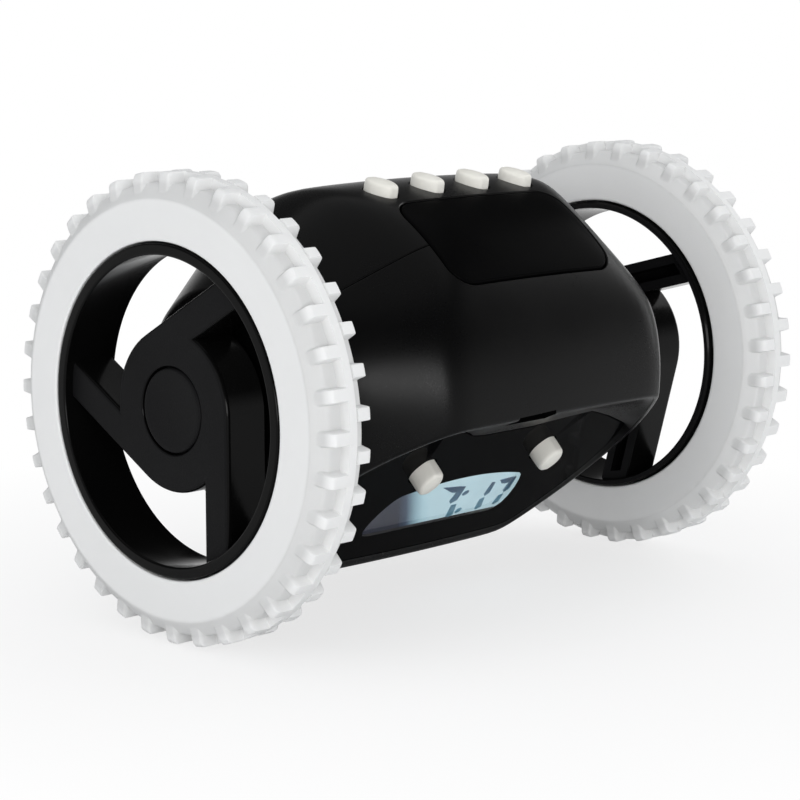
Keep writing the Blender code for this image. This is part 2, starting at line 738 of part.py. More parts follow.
def snooze_bar(finish, parent):
    """A flush panel over the seam, with a lip inside the shells on all but its rear edge."""
    frame = outward_frame(SNOOZE_ANGLE)
    bar = skin_patch(snooze_outline(), SNOOZE_ANGLE, 0.0, SNOOZE_THICKNESS)
    half, edge = SNOOZE_WIDTH / 2 + SNOOZE_LIP, SNOOZE_HEIGHT / 2
    lip = rectangle(-half, half, -edge - SNOOZE_LIP, edge - SNOOZE_REAR_SETBACK)
    lip_top = WALL + GAP
    weld(bar, skin_patch(lip, SNOOZE_ANGLE, lip_top, lip_top + SNOOZE_LIP_THICKNESS))
    post_top = BARREL_RADIUS - SNOOZE_THICKNESS + SNOOZE_POST_SINK
    post = ((SNOOZE_POST_RADIUS, SNOOZE_POST_END), (SNOOZE_POST_RADIUS, post_top))
    weld(bar, rod(post, frame, 12))
    piece(bar, "snooze_bar", finish, parent, frame @ Vector((0, 0, BARREL_RADIUS)))


# Power and sound

def cells(finish, brass, parent):
    base = outward_frame(CELLS_ANGLE)
    for number, (out, across) in enumerate(cell_places(), 1):
        flip = 1 if number % 2 else -1
        centre = base @ Vector((0, across, out))
        frame = axle_frame(flip, -centre.y, centre.z)
        end = CELL_LENGTH / 2
        steps = (
            (CELL_RADIUS, -end),
            (CELL_RADIUS, end - CELL_NUB_LENGTH),
            (CELL_NUB_RADIUS, end - CELL_NUB_LENGTH),
            (CELL_NUB_RADIUS, end),
        )
        piece(rod(steps, frame, 20), f"battery_{number}", finish, parent, centre)
    for name, side in SIDES.items():
        low, high = sorted((side * (CONTACT_END - CONTACT_THICKNESS), side * CONTACT_END))
        edge, inner = cover_edge() - CONTACT_MARGIN, CELLS_DISTANCE - cover_edge() + CONTACT_MARGIN
        outline = rectangle(low, high, -edge, edge)
        plate = prism(outline, inner, CELLS_DISTANCE + cover_edge() - CONTACT_COVER_MARGIN, base)
        piece(plate, f"contact_plate_{name}", brass, parent)


def battery_cover(finish, steel, parent):
    frame = outward_frame(CELLS_ANGLE)
    cover = skin_patch(cover_outline(), CELLS_ANGLE, 0.0, COVER_THICKNESS)
    weld(cover, skin_patch(tab_outline(), CELLS_ANGLE, 0.0, COVER_THICKNESS))
    reach = cover_edge() + COVER_SCREW_REACH
    turn = math.atan2(-reach, skin_radius(0.0, CELLS_ANGLE))
    seat = math.sqrt(skin_radius(0.0, CELLS_ANGLE + math.degrees(turn)) ** 2 - reach**2)
    head_low = seat - SCREW_HEAD_HEIGHT / 2
    counterbore = circle(SCREW_HEAD_RADIUS + GAP, 16, (0.0, -reach))
    carve(cover, prism(counterbore, head_low - GAP, WIDE, frame))
    carve(cover, prism(circle(SCREW_HOLE_RADIUS, 12, (0.0, -reach)), 0.0, WIDE, frame))
    piece(cover, "battery_cover", finish, parent)
    place = frame @ Matrix.Translation((0, -reach, 0))
    tip = head_low - COVER_BOSS_DEPTH + COVER_THICKNESS + COVER_SCREW_SHORT
    steps = (
        (SCREW_RADIUS, tip),
        (SCREW_RADIUS, head_low),
        (SCREW_HEAD_RADIUS, head_low),
        (SCREW_HEAD_RADIUS, head_low + SCREW_HEAD_HEIGHT / 2),
    )
    piece(rod(steps, place, 12), "battery_cover_screw", steel, parent)


def speaker(finish, parent):
    front = speaker_front()
    back = front - SPEAKER_THICKNESS
    steps = (
        (SPEAKER_MAGNET_RADIUS, back - SPEAKER_MAGNET_DEPTH),
        (SPEAKER_MAGNET_RADIUS, back),
        (SPEAKER_RADIUS, back),
        (SPEAKER_RADIUS, front),
    )
    piece(rod(steps, outward_frame(SPEAKER_ANGLE)), "speaker", finish, parent)


# Drive

def drive(name, side, plastic, metal, brass, parent):
    """Everything between the body's middle and the axle's inner end, on one side."""
    motor_place = (MOTOR_FRONT, MOTOR_RISE)
    idler_place = idler_centre()
    motor_frame = axle_frame(side, *motor_place)
    idler_frame = axle_frame(side, *idler_place)

    everywhere = rectangle(-WIDE, WIDE, -WIDE, WIDE)
    frame = prism(everywhere, FRAME_INNER_FACE, FRAME_OUTER_FACE, axle_frame(side))
    keep(frame, body_solid(WALL + GAP))
    carve(frame, ahead_of_face(LENS_BACK - GAP))
    pin_start, pin_end = FRAME_OUTER_FACE - OVERSHOOT, SMALL_GEAR_END + GAP
    weld(frame, rod(((IDLER_PIN_RADIUS, pin_start), (IDLER_PIN_RADIUS, pin_end)), idler_frame, 16))
    bearing = AXLE_RADIUS + RUNNING_FIT
    shaft_hole = MOTOR_SHAFT_RADIUS + 2 * GAP
    carve(
        frame,
        rod(((bearing, 0.0), (bearing, WIDE)), axle_frame(side)),
        rod(((shaft_hole, 0.0), (shaft_hole, WIDE)), motor_frame, 12),
    )
    piece(frame, f"gear_frame_{name}", plastic, parent)

    motor_end = FRAME_INNER_FACE - GAP
    outline = rounded_rectangle(MOTOR_WIDTH, MOTOR_HEIGHT, MOTOR_CORNER)
    motor = prism(outline, motor_end - MOTOR_LENGTH, motor_end, motor_frame)
    bore = MOTOR_SHAFT_RADIUS + RUNNING_FIT
    carve(motor, rod(((bore, motor_end - MOTOR_BORE_DEPTH), (bore, WIDE)), motor_frame, 12))
    piece(motor, f"motor_{name}", metal, parent)

    to_motor = direction(idler_place, motor_place)
    phase = to_motor + 180 + 180 / PINION_TEETH
    pinion_end = LARGE_GEAR_START + GEAR_WIDTH
    pinion = prism(gear_outline(PINION_TEETH, phase), LARGE_GEAR_START, pinion_end, motor_frame)
    shaft_start, shaft_end = motor_end - MOTOR_SHAFT_DEPTH, LARGE_GEAR_START + OVERSHOOT
    shaft = ((MOTOR_SHAFT_RADIUS, shaft_start), (MOTOR_SHAFT_RADIUS, shaft_end))
    weld(pinion, rod(shaft, motor_frame, 12))
    origin = motor_frame @ Vector((0, 0, pinion_end))
    piece(pinion, f"motor_pinion_{name}", brass, parent, origin)

    phase = direction((0, 0), idler_place) + 180 + 180 / IDLER_SMALL_TEETH
    large = gear_outline(IDLER_LARGE_TEETH, to_motor)
    small = gear_outline(IDLER_SMALL_TEETH, phase)
    idler = prism(large, LARGE_GEAR_START, SMALL_GEAR_START, idler_frame)
    weld(idler, prism(small, SMALL_GEAR_START - OVERSHOOT, SMALL_GEAR_END, idler_frame))
    bore = IDLER_PIN_RADIUS + RUNNING_FIT
    carve(idler, rod(((bore, 0.0), (bore, WIDE)), idler_frame, 16))
    origin = idler_frame @ Vector((0, 0, LARGE_GEAR_START))
    piece(idler, f"idler_gear_{name}", plastic, parent, origin)

    bore = AXLE_RADIUS + RUNNING_FIT
    start = BODY_HALF_WIDTH - BUSHING_LENGTH
    outer = BUSHING_RADIUS
    end = BODY_HALF_WIDTH + BUSHING_PROUD
    profile = ((bore, start), (outer, start), (outer, end), (bore, end))
    piece(turned(profile, axle_frame(side), 24), f"bushing_{name}", brass, parent)


def fasteners(steel, parent):
    for number, frame in enumerate(housing_screws(), 1):
        floor = SCREW_WELL_FLOOR + GAP
        steps = (
            (SCREW_RADIUS, -SCREW_BITE),
            (SCREW_RADIUS, floor),
            (SCREW_HEAD_RADIUS, floor),
            (SCREW_HEAD_RADIUS, floor + SCREW_HEAD_HEIGHT),
        )
        piece(rod(steps, frame, 12), f"housing_screw_{number}", steel, parent)


# Wheels

def wheel_hub(name, frame, finish, parent):
    """Rim, three tangent spokes and a hub disc, hollow at the back, moulded in one."""
    back = WHEEL_FACE - HUB_WIDTH
    rim = TYRE_SEAT_RADIUS - GAP
    profile = ((HUB_FRONT_BORE, WHEEL_FACE), (rim, WHEEL_FACE), (rim, back), (HUB_BACK_BORE, back))
    hub = turned(profile, frame, 54)
    weld(hub, rod(((HUB_DISC_RADIUS, HUB_BACK), (HUB_DISC_RADIUS, HUB_FACE)), frame, 36))
    spoke_frames = [
        frame @ Matrix.Rotation(math.radians(SPOKE_TURN[name] + 360 * k / SPOKE_COUNT), 4, "Z")
        for k in range(SPOKE_COUNT)
    ]
    reach = (HUB_FRONT_BORE + rim) / 2
    for spoke in spoke_frames:
        outline = rectangle(0.0, reach, SPOKE_INNER_OFFSET, HUB_DISC_RADIUS)
        reach_out = math.sqrt(reach**2 - HUB_DISC_RADIUS**2)
        outline[1] = (math.sqrt(reach**2 - SPOKE_INNER_OFFSET**2), SPOKE_INNER_OFFSET)
        outline[2] = (reach_out, HUB_DISC_RADIUS)
        weld(hub, prism(outline, HUB_BACK, HUB_FACE, spoke))
    floor = HUB_FACE - HUB_SHELL
    inside = HUB_DISC_RADIUS - HUB_SHELL
    carve(hub, rod(((inside, floor), (inside, 0.0)), frame, 36))
    for spoke in spoke_frames:
        low, reach = SPOKE_INNER_OFFSET + HUB_SHELL, HUB_FRONT_BORE - HUB_SHELL / 2
        outline = rectangle(0.0, math.sqrt(reach**2 - inside**2), low, inside)
        carve(hub, prism(outline, 0.0, floor, spoke))
    boss_back = HUB_FACE - HUB_BOSS_DEPTH
    steps = (
        (HUB_SOCKET_RADIUS, HUB_BACK),
        (HUB_SOCKET_RADIUS, boss_back),
        (HUB_BOSS_RADIUS, boss_back),
        (HUB_BOSS_RADIUS, floor + HUB_SHELL / 2),
    )
    weld(hub, rod(steps, frame))
    bore, recess, well = AXLE_RADIUS + GAP, CAP_RADIUS + GAP, SCREW_HEAD_RADIUS + GAP
    carve(
        hub,
        rod(((recess, CAP_SEAT), (recess, WIDE)), frame, 24),
        rod(((well, SCREW_SEAT - GAP), (well, WIDE)), frame, 12),
        rod(((bore, 0.0), (bore, SCREW_SEAT)), frame),
    )
    piece(hub, f"wheel_hub_{name}", finish, parent)


def tyre(name, frame, finish, parent):
    """Carcass with a raised middle band and two rows of lugs, the rows staggered."""
    outer, inner = WHEEL_FACE, WHEEL_FACE - TYRE_WIDTH
    band_outer = WHEEL_FACE - TYRE_BAND_START
    band_inner = band_outer - TYRE_BAND_WIDTH
    crown = TYRE_RADIUS - TYRE_BAND_DROP
    profile = (
        (TYRE_SEAT_RADIUS, outer),
        (TYRE_SIDEWALL_RADIUS, outer),
        (TYRE_CARCASS_RADIUS, outer - TYRE_SHOULDER),
        (TYRE_CARCASS_RADIUS, band_outer),
        (crown, band_outer),
        (crown, band_inner),
        (TYRE_CARCASS_RADIUS, band_inner),
        (TYRE_CARCASS_RADIUS, inner + TYRE_SHOULDER),
        (TYRE_SIDEWALL_RADIUS, inner),
        (TYRE_SEAT_RADIUS, inner),
    )
    made = turned(profile, frame, LUG_COUNT)
    root, half = TYRE_SIDEWALL_RADIUS + LUG_SINK, LUG_WIDTH / 2
    rows = (
        (outer - LUG_EDGE, band_outer - LUG_OVERLAP, -1, 0.0),
        (inner + LUG_EDGE, band_inner + LUG_OVERLAP, 1, 0.5),
    )
    # A lug's section is drawn with b along the axle and then set out to both sides of it
    lying = Matrix(((1, 0, 0, 0), (0, 0, 1, 0), (0, 1, 0, 0), (0, 0, 0, 1)))
    lugs = bmesh.new()
    for edge, root_end, inwards, stagger in rows:
        outline = (
            (root, edge),
            (TYRE_RADIUS - LUG_CHAMFER, edge),
            (TYRE_RADIUS, edge + inwards * LUG_CHAMFER),
            (TYRE_RADIUS, root_end),
            (root, root_end),
        )
        for k in range(LUG_COUNT):
            turn = Matrix.Rotation(math.radians(360 * (k + stagger) / LUG_COUNT - 90), 4, "Z")
            add_stack(lugs, ((outline, -half), (outline, half)), frame @ turn @ lying)
    weld(made, solid_from(lugs))
    piece(made, f"tyre_{name}", finish, parent)


def wheel(name, side, plastic, rubber, steel, gear_finish):
    """The wheel and all that turns with it, hung on an anchor in the middle of the axle line."""
    anchor = empty_at(f"wheel_{name}_axis", (0, 0, TYRE_RADIUS))
    frame = axle_frame(side)
    wheel_hub(name, frame, plastic, anchor)
    tyre(name, frame, rubber, anchor)

    steps = (
        (CAP_RADIUS, CAP_SEAT + GAP),
        (CAP_RADIUS, HUB_FACE - CAP_EDGE),
        (CAP_RADIUS - CAP_EDGE, HUB_FACE),
        (CAP_RADIUS - CAP_RIM, HUB_FACE - CAP_DISH),
    )
    piece(rod(steps, frame, 24), f"hub_cap_{name}", plastic, anchor)

    axle_end = SCREW_SEAT - 2 * GAP
    axle = rod(((AXLE_RADIUS, FRAME_INNER_FACE), (AXLE_RADIUS, axle_end)), frame)
    flat = rectangle(-WIDE, WIDE, AXLE_RADIUS - AXLE_FLAT_DEPTH, WIDE)
    carve(axle, prism(flat, HUB_BACK + AXLE_FLAT_SETBACK, WIDE, frame))
    hole_end = axle_end - WHEEL_SCREW_LENGTH - OVERSHOOT
    carve(axle, rod(((SCREW_RADIUS, hole_end), (SCREW_RADIUS, WIDE)), frame, 12))
    piece(axle, f"axle_{name}", steel, anchor)

    steps = (
        (WHEEL_SCREW_RADIUS, axle_end - WHEEL_SCREW_LENGTH),
        (WHEEL_SCREW_RADIUS, SCREW_SEAT),
        (SCREW_HEAD_RADIUS, SCREW_SEAT),
        (SCREW_HEAD_RADIUS, SCREW_SEAT + SCREW_HEAD_HEIGHT),
    )
    piece(rod(steps, frame, 12), f"wheel_screw_{name}", steel, anchor)

    idler_turn = direction((0, 0), idler_centre()) - BODY_PITCH
    start = SMALL_GEAR_START + GEAR_SPACING
    gear = prism(gear_outline(OUTPUT_TEETH, idler_turn), start, SMALL_GEAR_END, frame)
    bore = AXLE_RADIUS + GAP
    carve(gear, rod(((bore, 0.0), (bore, WIDE)), frame))
    piece(gear, f"output_gear_{name}", gear_finish, anchor)


def main():
    clear_scene()
    shell_black = material("shell_black", (0.012, 0.012, 0.013), 0.35)
    hub_black = material("hub_black", (0.012, 0.012, 0.013), 0.42)
    rubber_white = material("rubber_white", (0.78, 0.78, 0.77), 0.6)
    key_white = material("key_white", (0.8, 0.79, 0.76), 0.4)
    lens_dark = material("lens_dark", (0.01, 0.012, 0.016), 0.06)
    lcd_blue = material("lcd_blue", (0.55, 0.78, 0.88), 0.2)
    diffuser = material("diffuser", (0.85, 0.9, 0.92), 0.5)
    board_green = material("board_green", (0.03, 0.16, 0.06), 0.45)
    chip_black = material("chip_black", (0.02, 0.02, 0.02), 0.6)
    gear_plastic = material("gear_plastic", (0.75, 0.74, 0.7), 0.45)
    steel = material("steel", (0.6, 0.6, 0.6), 0.3, 1.0)
    brass = material("brass", (0.7, 0.5, 0.2), 0.35, 1.0)
    motor_metal = material("motor_metal", (0.62, 0.63, 0.64), 0.35, 1.0)
    cell_wrap = material("cell_wrap", (0.1, 0.22, 0.12), 0.4)

    body = empty_at("body_axis", (0, 0, TYRE_RADIUS), BODY_PITCH)
    front_shell(shell_black, body)
    rear_shell(shell_black, body)
    face_lens(lens_dark, body)
    display(lcd_blue, diffuser, body)
    boards(board_green, chip_black, body)
    front_keys(key_white, body)
    top_keys(key_white, body)
    snooze_bar(shell_black, body)
    cells(cell_wrap, brass, body)
    battery_cover(shell_black, steel, body)
    speaker(chip_black, body)
    fasteners(steel, body)
    for name, side in SIDES.items():
        drive(name, side, gear_plastic, motor_metal, brass, body)
        wheel(name, side, hub_black, rubber_white, steel, gear_plastic)


main()
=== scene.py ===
"""Looks of the rolling alarm clock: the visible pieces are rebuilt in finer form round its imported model.

Lengths are in millimetres and angles in degrees; a finished piece is scaled to metres.
X runs along the axle, the display faces -Y, Z is up, and the tyres stand on Z = 0.
The body is drawn upright in its own frame, centred on the axle, where an angle is measured from
the front, upwards, as seen from the left wheel. It is then pitched forward about the axle.
"""

import math

import bmesh
import bpy
import numpy as np
from mathutils import Matrix, Vector
from mathutils.geometry import delaunay_2d_cdt

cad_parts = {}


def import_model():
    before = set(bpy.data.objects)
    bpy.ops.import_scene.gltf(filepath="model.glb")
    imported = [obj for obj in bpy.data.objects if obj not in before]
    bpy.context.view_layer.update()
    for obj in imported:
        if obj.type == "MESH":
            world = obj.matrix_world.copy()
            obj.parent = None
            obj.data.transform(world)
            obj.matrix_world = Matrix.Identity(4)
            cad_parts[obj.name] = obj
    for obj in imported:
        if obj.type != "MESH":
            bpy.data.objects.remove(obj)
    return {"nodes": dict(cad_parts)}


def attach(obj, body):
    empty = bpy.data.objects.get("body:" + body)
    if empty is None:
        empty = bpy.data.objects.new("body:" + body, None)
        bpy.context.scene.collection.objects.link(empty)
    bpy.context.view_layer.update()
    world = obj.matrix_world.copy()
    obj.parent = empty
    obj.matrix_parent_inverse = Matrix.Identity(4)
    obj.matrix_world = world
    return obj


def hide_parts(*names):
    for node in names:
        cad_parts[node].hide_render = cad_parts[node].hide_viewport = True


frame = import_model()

MM = 0.001
GAP = 0.3
WIDE = 200.0
SIDES = {"left": -1, "right": 1}

# Sizes: most are the solids' own; those of the skin, face, keys and snooze panel were refined for the looks
OVERALL_WIDTH = 133.35
TYRE_RADIUS = 43.2
BODY_PITCH = 40.0
BARREL_RADIUS = 38.6
BARREL_EDGE_RADIUS = 37.9
TAPER_START = 29.5
BODY_END_RADIUS = 17.2
END_SHIFT = 3.6
END_SHIFT_START = 29.0
END_SHIFT_ANGLE = 160.0
SHOULDER_ANGLE = 91.6
SHOULDER_REACH = 83.0
SHOULDER_SLOPE = 1.58
SKIN_BLEND = 1.1
WALL = 2.0
SEAM_TOP_ANGLE = 90.0
SEAM_LOW_ANGLE = -60.0
FACE_ANGLE = -5.0
FACE_DISTANCE = 23.4
LENS_FRONT = 23.2
LENS_BACK = 21.5
LCD_FRONT = 21.2
KEY_GAP = 0.35
FRONT_KEY_SIZE = (6.6, 5.0, 1.5, 0.6)
FRONT_KEY_X = 17.3
FRONT_KEY_RISE = 1.6
FRONT_KEY_TOP = 27.1
FRONT_KEY_FLANGE = (3.4, 3.1, 1.2)
TOP_KEY_SIZE = (7.3, 5.2, 1.5, 0.6)
TOP_KEY_PITCH = 12.6
TOP_KEY_ANGLE = 118.0
TOP_KEY_PROUD = 2.3
TOP_KEY_STEM = 2.6
SNOOZE_ANGLE = 91.6
SNOOZE_SIZE = (44.0, 22.0, 4.5)
SNOOZE_THICKNESS = 2.6
SNOOZE_LIP = (-23.2, 23.2, -12.2, 9.0)
SNOOZE_PIN = (2.0, 31.4, 36.3)
CELLS_ANGLE = -84.0
COVER_SIZE = (46.3, 21.6, 2.0)
COVER_THICKNESS = 1.7
COVER_TAB = (6.0, 17.3)
COVER_SCREW_REACH = 14.2
COVER_FRAME = 1.6
COVER_LEDGE = 1.2
COVER_BOSS = (3.4, 28.0, 35.0)
COVER_HOLE_END = 29.5
BAY_FLOOR = 10.0
SPEAKER_ANGLE = 158.0
SPEAKER_RADIUS = 12.0
GRILLE_SLOTS = 5
GRILLE_SLOT_WIDTH = 1.6
GRILLE_SLOT_PITCH = 3.6
GRILLE_SLOT_SPAN = 0.8
HOUSING_SCREW_X = 38.5
HOUSING_SCREW_OUT = {"top": 22.3, "low": 23.8}
SCREW_HEAD_RADIUS = 2.4
SCREW_HEAD_HEIGHT = 1.6
SCREW_RADIUS = 1.2
SCREW_WELL_RADIUS = 3.0
SCREW_WELL_WALL = 1.4
SCREW_WELL_FLOOR = 5.0
SCREW_BITE = 4.5
SCREW_HOLE = 1.5
SCREW_BOSS_RADIUS = 3.6
SCREW_BOSS_END = 1.1
BUSHING_SEAT = 4.8
BUSHING_COLLAR = 2.2
BUSHING_DEPTH = 5.0
HUB_WIDTH = 12.7
TYRE_WIDTH = 11.7
TYRE_SEAT_RADIUS = 30.8
TYRE_SIDEWALL_RADIUS = 38.5
TYRE_CARCASS_RADIUS = 41.2
HUB_FRONT_BORE = 28.3
HUB_BACK_BORE = 29.2
HUB_RIM_RADIUS = 30.5
HUB_FACE_DEPTH = 2.06
HUB_BACK_DEPTH = 11.2
HUB_DISC_RADIUS = 15.1
HUB_SHELL = 2.0
SPOKE_INNER_OFFSET = 8.6
SPOKE_TURN = {"left": 30.0, "right": 15.0}
CAP_RADIUS = 7.8
CAP_THICKNESS = 1.6
HUB_BOSS_RADIUS = 10.0
HUB_BOSS_DEPTH = 4.6
HUB_SOCKET_RADIUS = 4.6
AXLE_RADIUS = 2.0

WHEEL_FACE = OVERALL_WIDTH / 2
BODY_HALF_WIDTH = WHEEL_FACE - HUB_WIDTH - 0.275
HUB_FACE = WHEEL_FACE - HUB_FACE_DEPTH
HUB_BACK = WHEEL_FACE - HUB_BACK_DEPTH
CAP_SEAT = HUB_FACE - CAP_THICKNESS - GAP
SCREW_SEAT = CAP_SEAT - GAP - SCREW_HEAD_HEIGHT

# Finer forms that only the looks have
END_ROUND = 1.2
SEAM_ROUND = 0.22
SEAM_HALF_GAP = 0.07
SKIN_TOLERANCE = 0.02
RIM_FOOT = -13.0
RIM_RISE = 0.0043
RIM_INSET = 1.2
CELL_REACH = 22.3
CUT_TOP = 60.0
FACE_CUT_TOP = 70.0
SEAM_STEPS = (0.1, 0.16, 0.23, 0.31, 0.4, 0.52, 0.8)
SHARES = (0.03, 0.12, 0.24, 0.36, 0.48, 0.6, 0.72, 0.83, 0.92)
BROW_NOTCH = np.array(((-12.0, 20.0), (-0.5, 20.0), (-3.0, 25.3), (-13.0, 24.9)))

# The display: its window's side, where the painted shade at its far end gives way and how that edge leans,
# and where its strokes stand
WINDOW_SIDE = (
    (18.0, -7.5), (18.9, -9.2), (19.8, -12.0), (20.2, -15.2), (19.9, -17.9), (18.9, -19.2), (17.0, -19.7),
)
WINDOW_SPLAY = 1.7
PAINTED_SHADE_EDGE = (-21.8, -12.3)
PAINTED_SHADE_LEAN = 0.69
DIGIT_SPAN = (-18.7, -8.7)
STROKE_SHIFT = (0.45, -0.4)
COLON_RADIUS = 0.85
COLON_DOTS = ((5.5, -11.8), (8.3, -18.4))

# The tyre: (depth, radius) of its bead and tread, depths of the tread's rows, and steps from a lug's middle
BEAD = ((0.35, TYRE_SEAT_RADIUS), (0.1, 30.95), (0.0, 31.2))
SIDEWALL_RADII = (31.4, 33.0, 35.0, 37.0, 38.0)
TREAD_PROFILE = (
    (0, TYRE_SIDEWALL_RADIUS), (0.35, 39.1), (1.9, 41.05), (2.4, TYRE_CARCASS_RADIUS),
    (9.3, TYRE_CARCASS_RADIUS), (9.8, 41.05), (11.35, 39.1), (11.7, TYRE_SIDEWALL_RADIUS),
)
TREAD_ROWS = (
    0.0, 0.12, 0.3, 0.5, 0.68, 0.8, 0.92, 1.05, 1.25, 1.5, 1.75, 2.05, 2.5, 3.3, 4.2, 4.75, 4.95,
    5.1, 5.3, 5.9, 6.6, 6.8, 6.95, 7.15, 7.7, 8.6, 9.3, 9.7, 9.95, 10.2, 10.45,
    10.65, 10.78, 10.9, 11.02, 11.2, 11.4, 11.58, 11.7,
)
BAND_EDGES = (4.95, 6.95)
BAND_SLOPE = 0.3
BAND_DROP = 0.15
LUG_COUNT = 36
LUG_PITCH = 360 / LUG_COUNT
LUG_RADIUS = 42.0
LUG_HALF_WIDTH = 1.3
LUG_CORNER = 0.5
LUG_START = 0.9
LUG_REACH = (5.4, 4.6)
LUG_SOFTNESS = 0.24
LUG_SLUMP = 0.9
LUG_SHOULDER = 1.95
LUG_CROWN = 0.12
LUG_STEPS = (0.0, 0.9, 1.06, 1.18, 1.3, 1.42, 1.54, 1.7)

# The photograph's camera, in degrees, millimetres and pixels
CAMERA_ANGLES = (-45.59, 8.83)
CAMERA_DISTANCE = 490.1
CAMERA_FOCAL = 2485.7
CAMERA_AIM_X = -5.85
CAMERA_OFFSETS = (-1.1, -24.8)
IMAGE_SIZE = 800

# The floor's white for direct and for mirrored rays: its share beside the clock and away from it, and
# the two distances between which that changes, in metres
FLOOR_WHITE = ((0.72, 1.0, 0.05, 0.16), (0.1, 1.0, 0.06, 0.16))
FLOOR_RADII = (0.3, 0.8, 2.0, 6.0)

# Lamps in metres and watts: name, place, size, power
LAMP_AIM = (0.0, 0.0, 0.043)
LAMPS = (
    ("top_softbox", (0.05, 0.1, 0.75), (0.9, 0.7), 1.1),
    ("left_softbox", (-0.9, -0.25, 0.4), (0.6, 0.6), 1.1),
    ("right_softbox", (0.8, -0.1, 0.35), (0.4, 0.6), 1.4),
    ("front_softbox", (-0.55, -0.75, 0.1), (0.5, 0.25), 3.2),
)

AXLE = Matrix.Translation((0, 0, TYRE_RADIUS))
BODY = AXLE @ Matrix.Rotation(math.radians(BODY_PITCH), 4, "X")
TO_METRES = Matrix.Scale(MM, 4)


# Frames: each maps (a, b, c) to coordinates centred on the axle; shapes are drawn in a and b along c

def frame_of(a_axis, b_axis, c_axis, origin):
    columns = Matrix((a_axis, b_axis, c_axis)).transposed().to_4x4()
    columns.translation = Vector(origin)
    return columns


def axle_frame(side=1):
    """Along the axle: a runs to the front, b up and c outwards to the given side."""
    return frame_of((0, -1, 0), (0, 0, 1), (side, 0, 0), (0, 0, 0))


def outward_frame(angle, x=0.0):
    """Across the axle: a runs along X, b round the body with the angle and c outwards."""
    front, up = math.cos(math.radians(angle)), math.sin(math.radians(angle))
    return frame_of((1, 0, 0), (0, up, front), (0, -front, up), (x, 0, 0))


FACE = outward_frame(FACE_ANGLE)
CELLS = outward_frame(CELLS_ANGLE)


def seam_frame(angle, rearward, x, out):
    """Square to a parting face, at a distance out along it, with c towards the rear shell."""
    turned_frame = outward_frame(angle + 90 * rearward, x)
    turned_frame.translation = outward_frame(angle, x) @ Vector((0, 0, out))
    return turned_frame


def housing_screws():
    for level, angle, rearward in (("top", SEAM_TOP_ANGLE, 1), ("low", SEAM_LOW_ANGLE, -1)):
        for side in SIDES.values():
            yield seam_frame(angle, rearward, side * HOUSING_SCREW_X, HOUSING_SCREW_OUT[level])


def front_key_frame(side):
    return outward_frame(FACE_ANGLE, side * FRONT_KEY_X) @ Matrix.Translation((0, FRONT_KEY_RISE, 0))


# Outlines are arrays of (a, b) points, counter-clockwise

def circle(radius, count=48, centre=(0.0, 0.0)):
    turns = 2 * np.pi * np.arange(count) / count
    return np.column_stack((centre[0] + radius * np.cos(turns), centre[1] + radius * np.sin(turns)))


def rectangle(low_a, high_a, low_b, high_b):
    return np.array([(low_a, low_b), (high_a, low_b), (high_a, high_b), (low_a, high_b)], float)


def split_edges(outline, longest):
    """The same outline with points added, so that no edge is longer than this."""
    points = []
    for start, end in zip(outline, np.roll(outline, -1, 0)):
        steps = max(1, math.ceil(np.linalg.norm(end - start) / longest))
        points += [start + (end - start) * step / steps for step in range(steps)]
    return np.array(points)


def rounded_rectangle(width, height, corner, steps=8):
    outline = []
    for quarter, (sign_a, sign_b) in enumerate(((1, 1), (-1, 1), (-1, -1), (1, -1))):
        for step in range(steps + 1):
            turn = math.radians(90 * (quarter + step / steps))
            a = sign_a * (width / 2 - corner) + corner * math.cos(turn)
            outline.append((a, sign_b * (height / 2 - corner) + corner * math.sin(turn)))
    return np.array(outline)


def slot_outline(half_length, middle_b, width, steps=8):
    """A slot with round ends, along a."""
    points = []
    for end, start in ((1, -90), (-1, 90)):
        for step in range(steps + 1):
            turn = math.radians(start + 180 * step / steps)
            a = end * (half_length - width / 2) + width / 2 * math.cos(turn)
            points.append((a, middle_b + width / 2 * math.sin(turn)))
    return np.array(points)


def bent(first, knee, last, shares):
    """Steps along a curve from the first place to the last, drawn towards the knee."""
    return [(1 - t) ** 2 * first + 2 * t * (1 - t) * knee + t * t * last for t in shares]


def bowed_outline(width, height, sag, corner, steps=6, spans=14):
    """A key's outline: two long sides that bow outwards, joined by short straight ends, standing along b."""
    half = width / 2
    end = half - corner
    arc = [(a, height / 2 - sag * (a / half) ** 2) for a in np.linspace(end, -end, spans)]
    low = height / 2 - sag - corner * 0.8
    first, knee, last = np.array((half, low)), np.array((half, height / 2 - sag)), np.array(arc[0])
    bend = bent(first, knee, last, np.linspace(0, 1, steps))
    upper = bend + [np.array(point) for point in arc[1:-1]]
    upper += [point * (-1, 1) for point in bend[::-1]]
    return np.array(upper + [-point for point in upper]) @ np.array(((0, 1), (-1, 0)))


def grown(outline, amount):
    """The outline moved outwards by this much, square to its edges."""
    before = outline - np.roll(outline, 1, 0)
    before /= np.linalg.norm(before, axis=1)[:, None]
    after = np.roll(before, -1, 0)
    normals = [np.column_stack((edge[:, 1], -edge[:, 0])) for edge in (before, after)]
    lean = 1 + np.sum(normals[0] * normals[1], axis=1)
    return outline + amount * (normals[0] + normals[1]) / lean[:, None]


# Solids

def link(data, name="solid"):
    made = bpy.data.objects.new(name, data)
    bpy.context.scene.collection.objects.link(made)
    return made


def solid(points, faces):
    mesh = bpy.data.meshes.new("solid")
    mesh.from_pydata([tuple(map(float, point)) for point in points], [], faces)
    shape = bmesh.new()
    shape.from_mesh(mesh)
    bmesh.ops.recalc_face_normals(shape, faces=shape.faces)
    shape.to_mesh(mesh)
    shape.free()
    return link(mesh)


